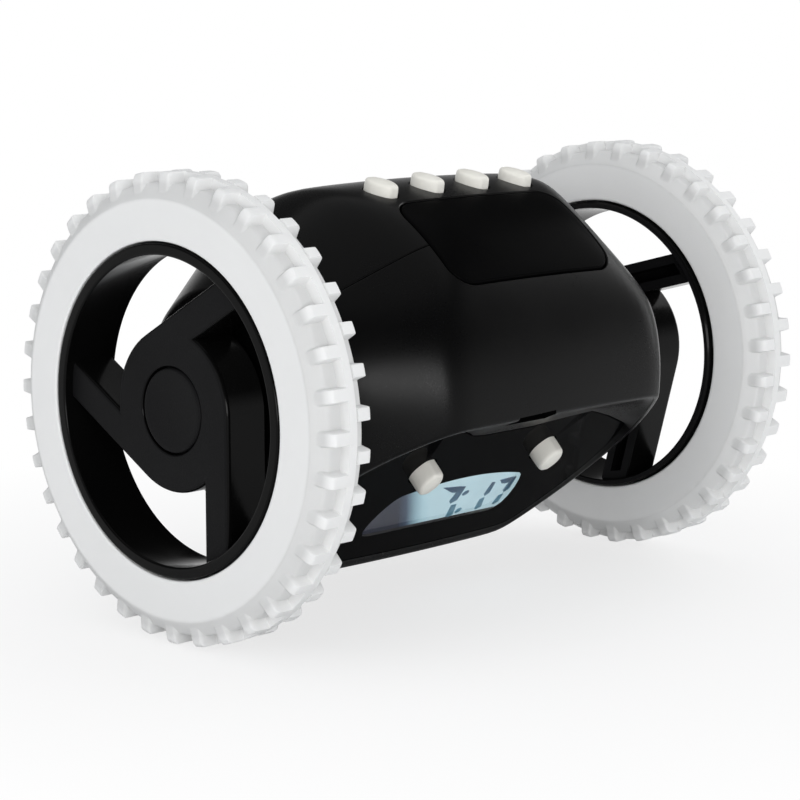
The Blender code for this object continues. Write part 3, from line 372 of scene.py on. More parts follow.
def loft(rings, closed=False):
    """Skins rings of equal count, with flat ends or, if closed, on round to the first ring."""
    count = len(rings[0])
    pairs = [(k, k + 1) for k in range(len(rings) - 1)]
    if closed:
        pairs.append((len(rings) - 1, 0))
    faces = [
        (low * count + k, low * count + (k + 1) % count, high * count + (k + 1) % count, high * count + k)
        for low, high in pairs
        for k in range(count)
    ]
    if not closed:
        faces.append(tuple(range(count)))
        faces.append(tuple(range((len(rings) - 1) * count, len(rings) * count)))
    return solid(np.concatenate(rings), faces)


def placed(points, place):
    matrix = np.array(place)
    return points @ matrix[:3, :3].T + matrix[:3, 3]


def ring_at(outline, height, place):
    return placed(np.column_stack((outline, np.broadcast_to(height, len(outline)))), place)


def stack(sections, place):
    return loft([ring_at(outline, height, place) for outline, height in sections])


def prism(outline, low, high, place):
    return stack(((outline, low), (outline, high)), place)


def rod(steps, place, count=48):
    return stack([(circle(radius, count), height) for radius, height in steps], place)


def peg(radius, low, high, place, count=48):
    """A straight rod."""
    return rod(((radius, low), (radius, high)), place, count)


def turned(profile, place, count=144):
    """Ring with the closed (radius, c) profile, turned about c."""
    return loft([ring_at(circle(radius, count), height, place) for radius, height in profile], True)


def combine(target, tools, operation):
    """Applies Booleans with the manifold solver, which leaves closed solids closed."""
    for tool in tools:
        modifier = target.modifiers.new("Boolean", "BOOLEAN")
        modifier.operation = operation
        modifier.solver = "MANIFOLD"
        modifier.object = tool
        bpy.context.view_layer.update()
        graph = bpy.context.evaluated_depsgraph_get()
        made = bpy.data.meshes.new_from_object(target.evaluated_get(graph))
        target.modifiers.clear()
        target.data = made
        bpy.data.objects.remove(tool, do_unlink=True)
    return target


def weld(target, *tools):
    return combine(target, tools, "UNION")


def carve(target, *tools):
    return combine(target, tools, "DIFFERENCE")


def keep(target, *tools):
    return combine(target, tools, "INTERSECT")


# Body skin

def skin_radius(x, angle):
    """Distance of the outer skin from the axle, at a place along it and an angle from the front."""
    reach = np.abs(x)
    fall = BARREL_RADIUS - BARREL_EDGE_RADIUS
    barrel = BARREL_RADIUS - fall * (reach / TAPER_START) ** 2
    share = (reach - TAPER_START) / (BODY_HALF_WIDTH - TAPER_START)
    cone = BARREL_EDGE_RADIUS + share * (BODY_END_RADIUS - BARREL_EDGE_RADIUS)
    shift = END_SHIFT * np.maximum(0.0, reach - END_SHIFT_START) / (BODY_HALF_WIDTH - END_SHIFT_START)
    off = np.radians(angle - END_SHIFT_ANGLE)
    taper = shift * np.cos(off) + np.sqrt(cone**2 - (shift * np.sin(off)) ** 2)
    lean = np.maximum(0.01, np.cos(np.radians(angle - SHOULDER_ANGLE)))
    shoulder = (SHOULDER_REACH - reach) / (SHOULDER_SLOPE * lean)
    least = np.minimum(np.minimum(barrel, taper), shoulder)
    spread = sum(np.exp((least - value) / SKIN_BLEND) for value in (barrel, taper, shoulder))
    return least - SKIN_BLEND * np.log(spread)


def inset_radius(x, angle, inset):
    slope = skin_radius(x + 0.5, angle) - skin_radius(x - 0.5, angle)
    return skin_radius(x, angle) - inset * np.hypot(1, slope)


def dressed_radius(x, angle):
    """The skin with its rounded ends and the eased edges along both parting lines."""
    radius = skin_radius(x, angle)
    over = np.clip((np.abs(x) - BODY_HALF_WIDTH + END_ROUND) / END_ROUND, 0, 1)
    radius = radius - END_ROUND * (1 - np.sqrt(1 - over**2))
    for seam in (SEAM_TOP_ANGLE, SEAM_LOW_ANGLE):
        off = (angle - seam + 180) % 360 - 180
        reach = np.where(np.abs(off) < 20, radius * np.abs(np.sin(np.radians(off))), WIDE)
        near = np.clip(1 - (reach - SEAM_HALF_GAP) / SEAM_ROUND, 0, 1)
        radius = radius - SEAM_ROUND * (1 - np.sqrt(1 - near**2))
    return radius


def skin_points(x, angle, radius):
    turns = np.radians(angle)
    return np.stack((x, -radius * np.cos(turns), radius * np.sin(turns)), axis=-1)


def skin_height(a, b, angle):
    """How far out the skin lies over a point drawn square to an angle; a is along X."""
    height = np.full(np.shape(a), 36.0)
    for _ in range(14):
        turn = angle + np.degrees(np.arctan2(b, height))
        height = np.sqrt(np.maximum(skin_radius(a, turn) ** 2 - b**2, 1.0))
    return height


def body_solid():
    """The whole body, closed, in fine rings that crowd at the parting lines and the ends."""
    barrel, cones = np.linspace(0, 27, 14), np.linspace(28.5, 51, 19)
    half = list(barrel) + list(cones)
    half += [BODY_HALF_WIDTH - END_ROUND * (1 - math.sin(t)) for t in np.linspace(0, math.pi / 2, 7)]
    stations = [-x for x in half[:0:-1]] + half
    turns = set(range(-120, 240, 2))
    for seam in (SEAM_TOP_ANGLE, SEAM_LOW_ANGLE):
        turns |= {seam + sign * off for off in SEAM_STEPS for sign in (-1, 1)}
    turns = np.array(sorted(turns), float)
    rings = []
    for x in stations:
        along = np.full(len(turns), x)
        rings.append(skin_points(along, turns, dressed_radius(along, turns)))
    return loft(rings)


def inner_solid(inset):
    turns = np.arange(-90.0, 270.0, 4.0)
    rings = []
    for x in np.linspace(inset - BODY_HALF_WIDTH, BODY_HALF_WIDTH - inset, 45):
        along = np.full(len(turns), x)
        rings.append(skin_points(along, turns, inset_radius(along, turns, inset)))
    return loft(rings)


def skin_ring(outline, depth, angle, x=0.0):
    """The outline laid on the skin, this far below it."""
    height = skin_height(outline[:, 0] + x, outline[:, 1], angle) - depth
    return ring_at(outline, height, outward_frame(angle, x))


def skin_plate(outline, edge, angle, x=0.0):
    """A plate that follows the skin. Its edge is a list of (growth, depth) from the bottom up."""
    sections = [(share, *edge[0]) for share in SHARES] + [(1.0, *step) for step in edge]
    sections += [(share, *edge[-1]) for share in SHARES[::-1]]
    rings = [skin_ring(share * grown(outline, growth), depth, angle, x) for share, growth, depth in sections]
    return loft(rings)


def window_cutter(outline, angle, x=0.0, deep=7.0, easing=0.26):
    """Cuts through the wall, easing the edge where it leaves the skin."""
    steps = ((0.0, deep), (0.0, easing), (0.09 * easing / 0.26, easing / 2), (easing, 0.0))
    steps += ((easing + 3, -2.0),)
    rings = [skin_ring(grown(outline, growth), depth, angle, x) for growth, depth in steps]
    rings.append(ring_at(grown(outline, easing + 3), CUT_TOP, outward_frame(angle, x)))
    return loft(rings)


def skin_cutter(outline, depth, angle, easing=0.22):
    """Cuts a recess whose floor follows the skin."""
    steps = [(share, 0.0, depth) for share in SHARES] + [(1.0, 0.0, depth), (1.0, 0.0, easing)]
    steps += [(1.0, easing / 3, easing / 2), (1.0, easing, 0.0), (1.0, easing + 2, -1.5)]
    rings = [skin_ring(share * grown(outline, growth), low, angle) for share, growth, low in steps]
    rings.append(ring_at(grown(outline, easing + 2), CUT_TOP, outward_frame(angle)))
    return loft(rings)


def front_wedge(growth):
    """Everything between the two parting faces, on the front side, grown by this much at each."""
    low, top = SEAM_LOW_ANGLE, SEAM_TOP_ANGLE
    middle, half = math.radians((low + top) / 2), math.radians((top - low) / 2)
    apex = -growth / math.sin(half)
    start = (apex * math.cos(middle), apex * math.sin(middle))
    turns = [math.radians(low + (top - low) * k / 4) for k in range(5)]
    outline = [start] + [(start[0] + WIDE * math.cos(t), start[1] + WIDE * math.sin(t)) for t in turns]
    return prism(np.array(outline), -WIDE, WIDE, axle_frame())


# Face opening

LOOP_STEPS = np.radians(np.arange(0, 360, 2))
LOOP_TURNS = np.arctan2(27.0 * np.sin(LOOP_STEPS), 44.0 * np.cos(LOOP_STEPS))


def rim_height(b):
    """How far out the face's rim stands: just proud of the lens low down, and rising into the brow."""
    return FACE_DISTANCE + RIM_RISE * np.maximum(0.0, b - RIM_FOOT) ** 2


def smooth_step(value):
    value = np.clip(value, 0, 1)
    return value * value * (3 - 2 * value)


def face_loop(height_at, inset):
    """Where a sheet over the face meets a surface inside the skin: (a, b, c) points in turn."""
    low, high = np.zeros(len(LOOP_TURNS)), np.full(len(LOOP_TURNS), 52.0)
    for _ in range(40):
        reach = (low + high) / 2
        a, b = reach * np.cos(LOOP_TURNS), reach * np.sin(LOOP_TURNS)
        height = height_at(b)
        limit = inset_radius(a, FACE_ANGLE + np.degrees(np.arctan2(b, height)), inset)
        within = np.hypot(b, height) < limit
        low, high = np.where(within, reach, low), np.where(within, high, reach)
    a, b = low * np.cos(LOOP_TURNS), low * np.sin(LOOP_TURNS)
    return np.column_stack((a, b, height_at(b) + 0 * a))


def plane_loop(height, inset):
    return face_loop(lambda b: height, inset)[:, :2]


LENS_CREST = (
    (0.0, 10.7), (7.0, 10.7), (10.5, 11.2), (12.3, 12.3), (14.5, 13.3), (17.3, 13.5),
    (20.0, 13.2), (23.1, 12.4), (26.8, 11.0), (31.6, 9.1), (36.1, 6.9), (42.0, 4.0),
)


def lens_loop(height, inset):
    """The lens's outline: inside the rim, and below a wavy line that crests over each key."""
    loop = plane_loop(height, inset)
    across, crest = np.array(LENS_CREST).T
    low, high = np.zeros(len(loop)), np.ones(len(loop))
    for _ in range(30):
        share = (low + high) / 2
        over = share * loop[:, 1] > np.interp(share * np.abs(loop[:, 0]), across, crest)
        low, high = np.where(over, low, share), np.where(over, share, high)
    return loop * high[:, None]


def brow_infill():
    """The slope from the rim down to the lens, which is wide under the brow and narrow elsewhere."""
    lens = grown(lens_loop(LENS_FRONT, WALL + GAP), 0.12)
    rings = [face_loop(lambda b: LENS_BACK, 1.0), face_loop(lambda b: rim_height(b) - 0.08, 1.0)]
    rings += [np.column_stack((lens, np.full(len(lens), height))) for height in (LENS_FRONT, LENS_BACK)]
    return loft([placed(ring, FACE) for ring in rings], True)


def towards(start, end, distance):
    step = end - start
    return start + step * distance / np.linalg.norm(step, axis=1)[:, None]


def face_cutter():
    """Everything ahead of the face, with an eased edge towards the skin and another at the rim's inside."""
    easing, inner_easing = 0.6, 0.35
    corner = face_loop(rim_height, 0.0)
    on_skin = towards(corner, face_loop(lambda b: rim_height(b) - 0.5, 0.0), easing)
    inner = face_loop(rim_height, RIM_INSET)
    on_rim = towards(corner, inner, easing)
    bend = bent(on_skin, corner, on_rim, (0.0, 0.25, 0.5, 0.75, 1.0))
    outside = towards(bend[0], 2 * bend[0] - bend[1], 4.0)
    rim_end = towards(inner, corner, inner_easing)
    floor = face_loop(lambda b: FACE_DISTANCE - inner_easing, WALL)
    low = towards(floor, floor * (0.5, 0.5, 1.0), 0.05)
    top = outside * (1.3, 1.3, 1.0)
    top[:, 2] = FACE_CUT_TOP
    return loft([placed(ring, FACE) for ring in (top, outside, *bend, rim_end, low)])


# Materials

def put(tree, made, values):
    """Sets each named or numbered input of a node, or links it where the value is another node's output."""
    for name, value in values.items():
        if isinstance(value, bpy.types.NodeSocket):
            tree.links.new(value, made.inputs[name])
        else:
            made.inputs[name].default_value = value


def node(tree, kind, values, **settings):
    made = tree.nodes.new("ShaderNode" + kind)
    for name, value in settings.items():
        setattr(made, name, value)
    put(tree, made, values)
    return made


def noise(tree, place, scale, detail=3.0):
    values = {"Vector": place, "Scale": scale, "Detail": detail, "Roughness": 0.55}
    return node(tree, "TexNoise", values).outputs["Fac"]


def ramp(tree, value, stops):
    made = node(tree, "ValToRGB", {"Fac": value})
    elements = made.color_ramp.elements
    while len(elements) < len(stops):
        elements.new(0.5)
    for element, (position, colour) in zip(elements, stops):
        element.position = position
        element.color = (*colour, 1.0)
    return made.outputs["Color"]


def spread(tree, value, low, high, from_low=0.3, from_high=0.7):
    values = {"Value": value, "From Min": from_low, "From Max": from_high, "To Min": low, "To Max": high}
    return node(tree, "MapRange", values).outputs["Result"]


def arithmetic(tree, operation, first, second):
    return node(tree, "Math", {0: first, 1: second}, operation=operation).outputs["Value"]


def blend(tree, first, second, share):
    """The share of the first value, plus what is left of the second."""
    parts = [arithmetic(tree, "MULTIPLY", *pair) for pair in ((first, share), (second, 1 - share))]
    return arithmetic(tree, "ADD", *parts)


def length_of(tree, vector):
    return node(tree, "VectorMath", {0: vector}, operation="LENGTH").outputs["Value"]


def add_bump(tree, shader, height, distance):
    made = node(tree, "Bump", {"Height": height, "Strength": 1.0, "Distance": distance * MM})
    put(tree, shader, {"Normal": made.outputs["Normal"]})


def new_material(name):
    made = bpy.data.materials.new(name)
    made.use_nodes = True
    tree = made.node_tree
    place = node(tree, "TexCoord", {}).outputs["Object"]
    return made, tree, tree.nodes["Principled BSDF"], place


def moulded(name, dark, light, smooth, rough, grain, depth, mottle, metallic=0.0, specular=0.5):
    """Moulded plastic, rubber or metal: colour and roughness drift slowly, and a fine grain stands in it.
    Grain is in grains per metre, and its depth in millimetres."""
    made, tree, shader, place = new_material(name)
    slow = noise(tree, place, mottle, 4.0)
    fine = noise(tree, place, grain, 2.0)
    put(tree, shader, {
        "Base Color": ramp(tree, slow, ((0.3, dark), (0.7, light))),
        "Roughness": spread(tree, blend(tree, slow, fine, 0.6), smooth, rough),
        "Metallic": metallic,
        "Specular IOR Level": specular,
    })
    add_bump(tree, shader, fine, depth)
    return made


def rubber_material():
    """White rubber, painted a little greyer down between the lugs: painted shade in the recesses."""
    made, tree, shader, place = new_material("white_rubber")
    centre = node(tree, "VectorMath", {0: place, 1: (0.0, 0.0, TYRE_RADIUS * MM)}, operation="SUBTRACT")
    across = node(tree, "VectorMath", {0: centre.outputs[0], 1: (0.0, 1.0, 1.0)}, operation="MULTIPLY")
    radius = length_of(tree, across.outputs["Vector"])
    low, high = (TYRE_CARCASS_RADIUS - 0.2) * MM, (TYRE_RADIUS - 0.3) * MM
    raised = spread(tree, radius, 0.0, 1.0, low, high)
    below = spread(tree, radius, 1.0, 0.0, (TYRE_SIDEWALL_RADIUS - 0.6) * MM, TYRE_SIDEWALL_RADIUS * MM)
    # Lug tops and the sidewall keep the full white; the carcass between the lugs is painted greyer as
    # painted shade.
    outside_painted_shade = arithmetic(tree, "MAXIMUM", raised, below)
    slow = noise(tree, place, 45.0, 5.0)
    stops = ((0.15, (0.63, 0.63, 0.625)), (0.5, (0.765, 0.765, 0.76)), (0.8, (0.81, 0.81, 0.805)))
    put(tree, shader, {
        "Base Color": ramp(tree, blend(tree, outside_painted_shade, slow, 0.55), stops),
        "Roughness": spread(tree, slow, 0.5, 0.62),
        "Subsurface Weight": 0.06,
        "Subsurface Radius": (0.0012, 0.0012, 0.0011),
        "Subsurface Scale": 1.0,
        "Specular IOR Level": 0.4,
    })
    add_bump(tree, shader, noise(tree, place, 3200.0, 2.0), 0.02)
    return made


def clear_material():
    made, tree, shader, place = new_material("clear_window")
    slow = noise(tree, place, 90.0)
    put(tree, shader, {
        "Base Color": ramp(tree, slow, ((0.3, (0.985, 0.99, 1.0)), (0.7, (1.0, 1.0, 1.0)))),
        "Roughness": spread(tree, slow, 0.0, 0.015),
        "Transmission Weight": 1.0,
        "IOR": 1.25,
        "Specular IOR Level": 0.1,
    })
    return made


def face_coordinate(tree, place, row):
    """A place's distance along the face, in millimetres: its a in row 0 and its b in row 1."""
    to_face = (BODY @ FACE).inverted()
    split = node(tree, "SeparateXYZ", {"Vector": place})
    total = to_face[row][3]
    for column, axis in enumerate("XYZ"):
        term = arithmetic(tree, "MULTIPLY", split.outputs[axis], to_face[row][column] / MM)
        total = arithmetic(tree, "ADD", term, total)
    return total


def lcd_material():
    """Back-lit glass: pale blue, with painted shade that fades it to dark blue at its far end."""
    made, tree, shader, place = new_material("lit_display")
    along, up = (face_coordinate(tree, place, row) for row in (0, 1))
    edge = arithmetic(tree, "ADD", along, arithmetic(tree, "MULTIPLY", up, PAINTED_SHADE_LEAN))
    # Share clear of the painted shade: both colour and glow darken towards the far end as painted shade.
    unshaded = spread(tree, edge, 0.0, 1.0, *PAINTED_SHADE_EDGE)
    stops = (
        (0.0, (0.004, 0.006, 0.02)),
        (0.25, (0.015, 0.035, 0.08)),
        (0.55, (0.27, 0.44, 0.52)),
        (0.75, (0.44, 0.66, 0.74)),
        (1.0, (0.52, 0.73, 0.8)),
    )
    put(tree, shader, {
        "Base Color": ramp(tree, unshaded, ((0.0, (0.01, 0.012, 0.02)), (1.0, (0.12, 0.16, 0.18)))),
        "Emission Color": ramp(tree, unshaded, stops),
        "Emission Strength": spread(tree, noise(tree, place, 130.0, 2.0), 0.78, 0.88),
        "Roughness": 0.25,
        "Specular IOR Level": 0.05,
    })
    return made


def digit_material():
    """Liquid crystal strokes, dark blue at the top of the display and paler below."""
    made, tree, shader, place = new_material("display_strokes")
    height = spread(tree, face_coordinate(tree, place, 1), 0.0, 1.0, *DIGIT_SPAN)
    stops = ((0.0, (0.1, 0.27, 0.37)), (0.45, (0.045, 0.15, 0.24)), (1.0, (0.006, 0.045, 0.115)))
    colour = ramp(tree, height, stops)
    put(tree, shader, {
        "Base Color": colour,
        "Emission Color": colour,
        "Emission Strength": 0.35,
        "Roughness": 0.3,
        "Specular IOR Level": 0.05,
    })
    return made


def cell_material():
    """Battery sleeve with a copper-coloured end, in bands set by the place along the axle."""
    made, tree, shader, place = new_material("cell_sleeve")
    split = node(tree, "SeparateXYZ", {"Vector": place})
    along = spread(tree, split.outputs["X"], 0.0, 1.0, -CELL_REACH * MM, CELL_REACH * MM)
    green, copper = ((0.02, 0.05, 0.03), (0.03, 0.09, 0.05)), ((0.45, 0.22, 0.09), (0.5, 0.26, 0.11))
    slow = noise(tree, place, 300.0)
    put(tree, shader, {
        "Base Color": ramp(tree, along, tuple(zip((0.0, 0.72, 0.73, 1.0), green + copper))),
        "Roughness": spread(tree, slow, 0.26, 0.4),
        "Metallic": 0.35,
    })
    add_bump(tree, shader, slow, 0.02)
    return made


BLACK_LOW, BLACK_HIGH = (0.0016, 0.0016, 0.0017), (0.0026, 0.0026, 0.0027)

# Two colours, two roughnesses, the grain and its depth, the drift, and for some how metallic and specular
MOULDED = {
    "satin_black": (BLACK_LOW, BLACK_HIGH, 0.24, 0.36, 2600.0, 0.006, 35.0, 0.0, 0.12),
    "satin_black_panel": (BLACK_LOW, BLACK_HIGH, 0.26, 0.36, 2600.0, 0.008, 40.0, 0.0, 0.01),
    "textured_black": (
        (0.006, 0.006, 0.0065), (0.010, 0.010, 0.0105), 0.42, 0.56, 3400.0, 0.05, 40.0, 0.0, 0.05,
    ),
    "gloss_black": ((0.002, 0.002, 0.002), (0.003, 0.003, 0.003), 0.1, 0.2, 1200.0, 0.006, 30.0, 0.0, 0.08),
    "off_white_key": ((0.84, 0.82, 0.75), (0.87, 0.85, 0.79), 0.34, 0.46, 2200.0, 0.02, 120.0),
    "black_lens": (
        (0.0012, 0.0012, 0.0014), (0.002, 0.002, 0.0022), 0.03, 0.09, 300.0, 0.003, 25.0, 0.0, 0.008,
    ),
    "bright_steel": ((0.5, 0.5, 0.51), (0.62, 0.62, 0.63), 0.24, 0.42, 2500.0, 0.01, 200.0, 1.0),
    "blackened_steel": ((0.05, 0.05, 0.052), (0.08, 0.08, 0.082), 0.3, 0.46, 2500.0, 0.015, 200.0, 1.0),
    "brass": ((0.62, 0.43, 0.17), (0.74, 0.54, 0.24), 0.26, 0.42, 2500.0, 0.01, 150.0, 1.0),
    "motor_case": ((0.5, 0.51, 0.52), (0.64, 0.65, 0.66), 0.28, 0.42, 1800.0, 0.012, 150.0, 1.0),
    "gear_plastic": ((0.7, 0.69, 0.64), (0.78, 0.77, 0.72), 0.36, 0.48, 2200.0, 0.015, 120.0),
    "board_green": ((0.014, 0.085, 0.032), (0.024, 0.13, 0.05), 0.3, 0.5, 900.0, 0.02, 350.0),
    "chip_black": ((0.012, 0.012, 0.013), (0.02, 0.02, 0.021), 0.5, 0.66, 2500.0, 0.02, 300.0),
    "speaker_black": ((0.016, 0.016, 0.017), (0.03, 0.03, 0.031), 0.45, 0.66, 1800.0, 0.03, 250.0),
    "light_guide": ((0.8, 0.85, 0.87), (0.88, 0.92, 0.94), 0.4, 0.55, 1500.0, 0.01, 100.0),
}
LOOKS = {name: moulded(name, *values) for name, values in MOULDED.items()}
for material in (rubber_material(), clear_material(), lcd_material(), digit_material(), cell_material()):
    LOOKS[material.name] = material


# Finishing a piece

def skin_normals(mesh, radius_at):
    """For each face corner that lies on the skin, the skin's own normal there; zero elsewhere."""
    points = np.empty(len(mesh.vertices) * 3)
    mesh.vertices.foreach_get("co", points)
    x, y, z = points.reshape(-1, 3).T
    angle, radius = np.degrees(np.arctan2(z, -y)), np.hypot(y, z)
    on_skin = np.abs(radius - radius_at(x, angle)) < SKIN_TOLERANCE
    step_x, step_turn = 0.04, 0.06
    slope = (radius_at(x + step_x, angle) - radius_at(x - step_x, angle)) / (2 * step_x)
    turn_slope = radius_at(x, angle + step_turn) - radius_at(x, angle - step_turn)
    swing = turn_slope / math.radians(2 * step_turn) / np.maximum(radius, 1.0)
    turns = np.radians(angle)
    cosine, sine = np.cos(turns), np.sin(turns)
    outward = np.stack((-slope, -cosine - swing * sine, sine - swing * cosine), 1)
    outward /= np.linalg.norm(outward, axis=1)[:, None]
    normals = np.zeros((len(mesh.loops), 3))
    for face in mesh.polygons:
        corners = list(face.vertices)
        if not on_skin[corners].all():
            continue
        if np.dot(outward[corners].mean(0), face.normal) > 0.75:
            normals[list(face.loop_indices)] = outward[corners]
    return normals


def finish(made, name, body, replaced, looks, place=BODY, sharp=30.0, skin=None, choose=None):
    """Scales a finished solid to metres, and gives it its name, looks, shading and body."""
    mesh = made.data
    made.name = mesh.name = name
    mesh.materials.clear()
    for look in looks:
        mesh.materials.append(LOOKS[look])
    mesh.polygons.foreach_set("material_index", np.zeros(len(mesh.polygons), np.int32))
    if choose:
        for face in mesh.polygons:
            face.material_index = choose(face)
    known = skin_normals(mesh, skin) if skin else None
    mesh.transform(TO_METRES @ place)
    mesh.shade_smooth()
    mesh.set_sharp_from_angle(angle=math.radians(sharp))
    if skin:
        normals = np.empty(len(mesh.loops) * 3, np.float32)
        mesh.corner_normals.foreach_get("vector", normals)
        normals = normals.reshape(-1, 3)
        found = np.abs(known).sum(1) > 0
        normals[found] = known[found] @ np.array(place)[:3, :3].T
        mesh.normals_split_custom_set(normals.tolist())
    else:
        modifier = made.modifiers.new("Face weighted normals", "WEIGHTED_NORMAL")
        modifier.keep_sharp = True
    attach(made, body)
    if replaced:
        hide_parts(*replaced)


# Shells

def whole_shell():
    shell = carve(body_solid(), inner_solid(WALL))
    collar = BUSHING_SEAT + BUSHING_COLLAR
    for side in SIDES.values():
        start, end = BODY_HALF_WIDTH - BUSHING_DEPTH, BODY_HALF_WIDTH - WALL / 2
        weld(shell, peg(collar, start, end, axle_frame(side)))
        carve(shell, peg(BUSHING_SEAT, start - 1, BODY_HALF_WIDTH + 1, axle_frame(side)))
    snooze = split_edges(rounded_rectangle(*SNOOZE_SIZE), 1.5)
    carve(shell, window_cutter(grown(snooze, KEY_GAP), SNOOZE_ANGLE))
    return shell


def copy_of(made):
    return link(made.data.copy())


def front_shell(shell):
    keep(shell, front_wedge(-SEAM_HALF_GAP))
    carve(shell, face_cutter())
    weld(shell, brow_infill())
    carve(shell, prism(BROW_NOTCH, LENS_FRONT - 0.7, WIDE, FACE))
    for place in housing_screws():
        boss = peg(SCREW_BOSS_RADIUS, -GAP / 2, -SCREW_BITE - SCREW_BOSS_END, place, 24)
        weld(shell, carve(keep(boss, inner_solid(WALL / 2)), ahead_of_lens()))
        carve(shell, peg(SCREW_HOLE, 1.0, -SCREW_BITE - GAP, place, 24))
    finish(shell, "housing_front", "housing", ["front_shell"], ["satin_black"], skin=dressed_radius)


def ahead_of_lens():
    return prism(rectangle(-WIDE, WIDE, -WIDE, WIDE), LENS_BACK - GAP, WIDE, FACE)


def cover_outline():
    """The battery cover with the tab that its screw goes through."""
    width, height, corner = COVER_SIZE
    body = rounded_rectangle(width, height, corner)
    half, end = COVER_TAB
    chamfer = 0.8
    tab = np.array((
        (-half, -height / 2), (-half, chamfer - end), (chamfer - half, -end),
        (half - chamfer, -end), (half, chamfer - end), (half, -height / 2),
    ))
    lower = np.argmax((body[:, 0] > -1) & (body[:, 1] < -height / 2 + 0.01))
    return split_edges(np.concatenate((body[:lower], tab, body[lower:])), 1.5)


def cover_screw_frame():
    return CELLS @ Matrix.Translation((0, -COVER_SCREW_REACH, 0))


def rear_shell(shell):
    carve(shell, front_wedge(SEAM_HALF_GAP))
    wall = SCREW_WELL_RADIUS + SCREW_WELL_WALL
    for place in housing_screws():
        weld(shell, keep(peg(wall, GAP / 2, WIDE, place, 36), inner_solid(WALL / 2)))
        well = peg(SCREW_WELL_RADIUS, SCREW_WELL_FLOOR, WIDE, place)
        carve(shell, well, peg(SCREW_HOLE, -1.0, SCREW_WELL_FLOOR + 1, place, 24))
    opening = grown(bowed_outline(*TOP_KEY_SIZE), KEY_GAP)
    for k in range(4):
        carve(shell, window_cutter(opening, TOP_KEY_ANGLE, TOP_KEY_PITCH * (k - 1.5), 7.0, 0.2))
    outline = cover_outline()
    weld(shell, skin_plate(grown(outline, COVER_FRAME), ((0.0, 4.2), (0.0, 1.0)), CELLS_ANGLE))
    weld(shell, keep(peg(*COVER_BOSS, cover_screw_frame(), 36), inner_solid(WALL / 2)))
    carve(shell, skin_cutter(grown(outline, GAP), COVER_THICKNESS + GAP, CELLS_ANGLE))
    width, height, _ = COVER_SIZE
    bay = split_edges(rounded_rectangle(width - 2 * COVER_LEDGE, height - 2 * COVER_LEDGE, 1.5), 1.5)
    carve(shell, prism(bay, BAY_FLOOR, WIDE, CELLS))
    hole = circle(SCREW_HOLE, 24, (0.0, -COVER_SCREW_REACH))
    carve(shell, prism(hole, COVER_HOLE_END, WIDE, CELLS))
    for k in range(GRILLE_SLOTS):
        across = GRILLE_SLOT_PITCH * (k - (GRILLE_SLOTS - 1) / 2)
        half = GRILLE_SLOT_SPAN * math.sqrt(SPEAKER_RADIUS**2 - across**2)
        outline = split_edges(slot_outline(half, across, GRILLE_SLOT_WIDTH), 1.5)
        carve(shell, window_cutter(outline, SPEAKER_ANGLE, 0.0, 5.0, 0.15))
    finish(shell, "housing_rear", "housing", ["rear_shell"], ["satin_black"], skin=dressed_radius)


def snooze_bar():
    outline = split_edges(rounded_rectangle(*SNOOZE_SIZE), 1.0)
    edge = ((0.0, SNOOZE_THICKNESS), (0.0, 0.42), (-0.04, 0.24), (-0.15, 0.1), (-0.32, 0.02), (-0.5, 0.0))
    bar = skin_plate(outline, edge, SNOOZE_ANGLE)
    lip = split_edges(rectangle(*SNOOZE_LIP), 2.0)
    weld(bar, skin_plate(lip, ((0.0, WALL + GAP + 1.0), (0.0, WALL + GAP)), SNOOZE_ANGLE))
    weld(bar, peg(*SNOOZE_PIN, outward_frame(SNOOZE_ANGLE), 24))
    finish(bar, "snooze_panel", "snooze", ["snooze_bar"], ["satin_black_panel"], skin=skin_radius)


def battery_cover():
    edge = ((0.0, COVER_THICKNESS), (0.0, 0.34), (-0.04, 0.18), (-0.14, 0.06), (-0.34, 0.0))
    cover = skin_plate(cover_outline(), edge, CELLS_ANGLE)
    seat = cover_screw_seat()
    bore = ((2.7, seat - 1.1), (2.7, seat + 0.1), (3.2, seat + 0.6), (3.2, WIDE))
    carve(cover, rod(bore, cover_screw_frame()), peg(SCREW_HOLE, 0.0, WIDE, cover_screw_frame(), 24))
    looks = ["satin_black"]
    finish(cover, "battery_hatch", "battery_door", ["battery_cover"], looks, skin=skin_radius)


def cover_screw_seat():
    return float(skin_height(np.array([0.0]), np.array([-COVER_SCREW_REACH]), CELLS_ANGLE)[0])


def screw(name, place, tip, low, height, body):
    """Pan-head screw with a cross recess; low is the height of its head's underside."""
    head, straight = SCREW_HEAD_RADIUS, 0.45
    steps = [(SCREW_RADIUS - 0.25, tip), (SCREW_RADIUS, tip + 0.6), (SCREW_RADIUS, low), (head, low)]
    for share in (straight, 0.7, 0.88, 0.97, 1.0):
        rise = math.sqrt(1 - ((share - straight) / 0.55) ** 2)
        steps.append((head * (straight + 0.55 * rise), low + height * share))
    steps.append((0.3, low + height))
    made = rod(steps, place)
    floor = low + height - min(1.0, height * 0.75)
    taper = 0.62
    for long, wide in ((1.45, 0.34), (0.34, 1.45)):
        upper = rectangle(-long, long, -wide, wide)
        lower = rectangle(-long * taper, long * taper, -wide * taper, wide * taper)
        carve(made, stack(((lower, floor), (upper, low + height + 0.3)), place))
    finish(made, name + "_fine", body, [name], ["blackened_steel"])


def screws():
    floor = SCREW_WELL_FLOOR + GAP
    for number, place in enumerate(housing_screws(), 1):
        screw(f"housing_screw_{number}", place, -SCREW_BITE, floor, SCREW_HEAD_HEIGHT, "housing")
    low = cover_screw_seat() - SCREW_HEAD_HEIGHT / 2
    screw("battery_cover_screw", cover_screw_frame(), low - 4.8, low, SCREW_HEAD_HEIGHT / 2, "battery_door")


# Face

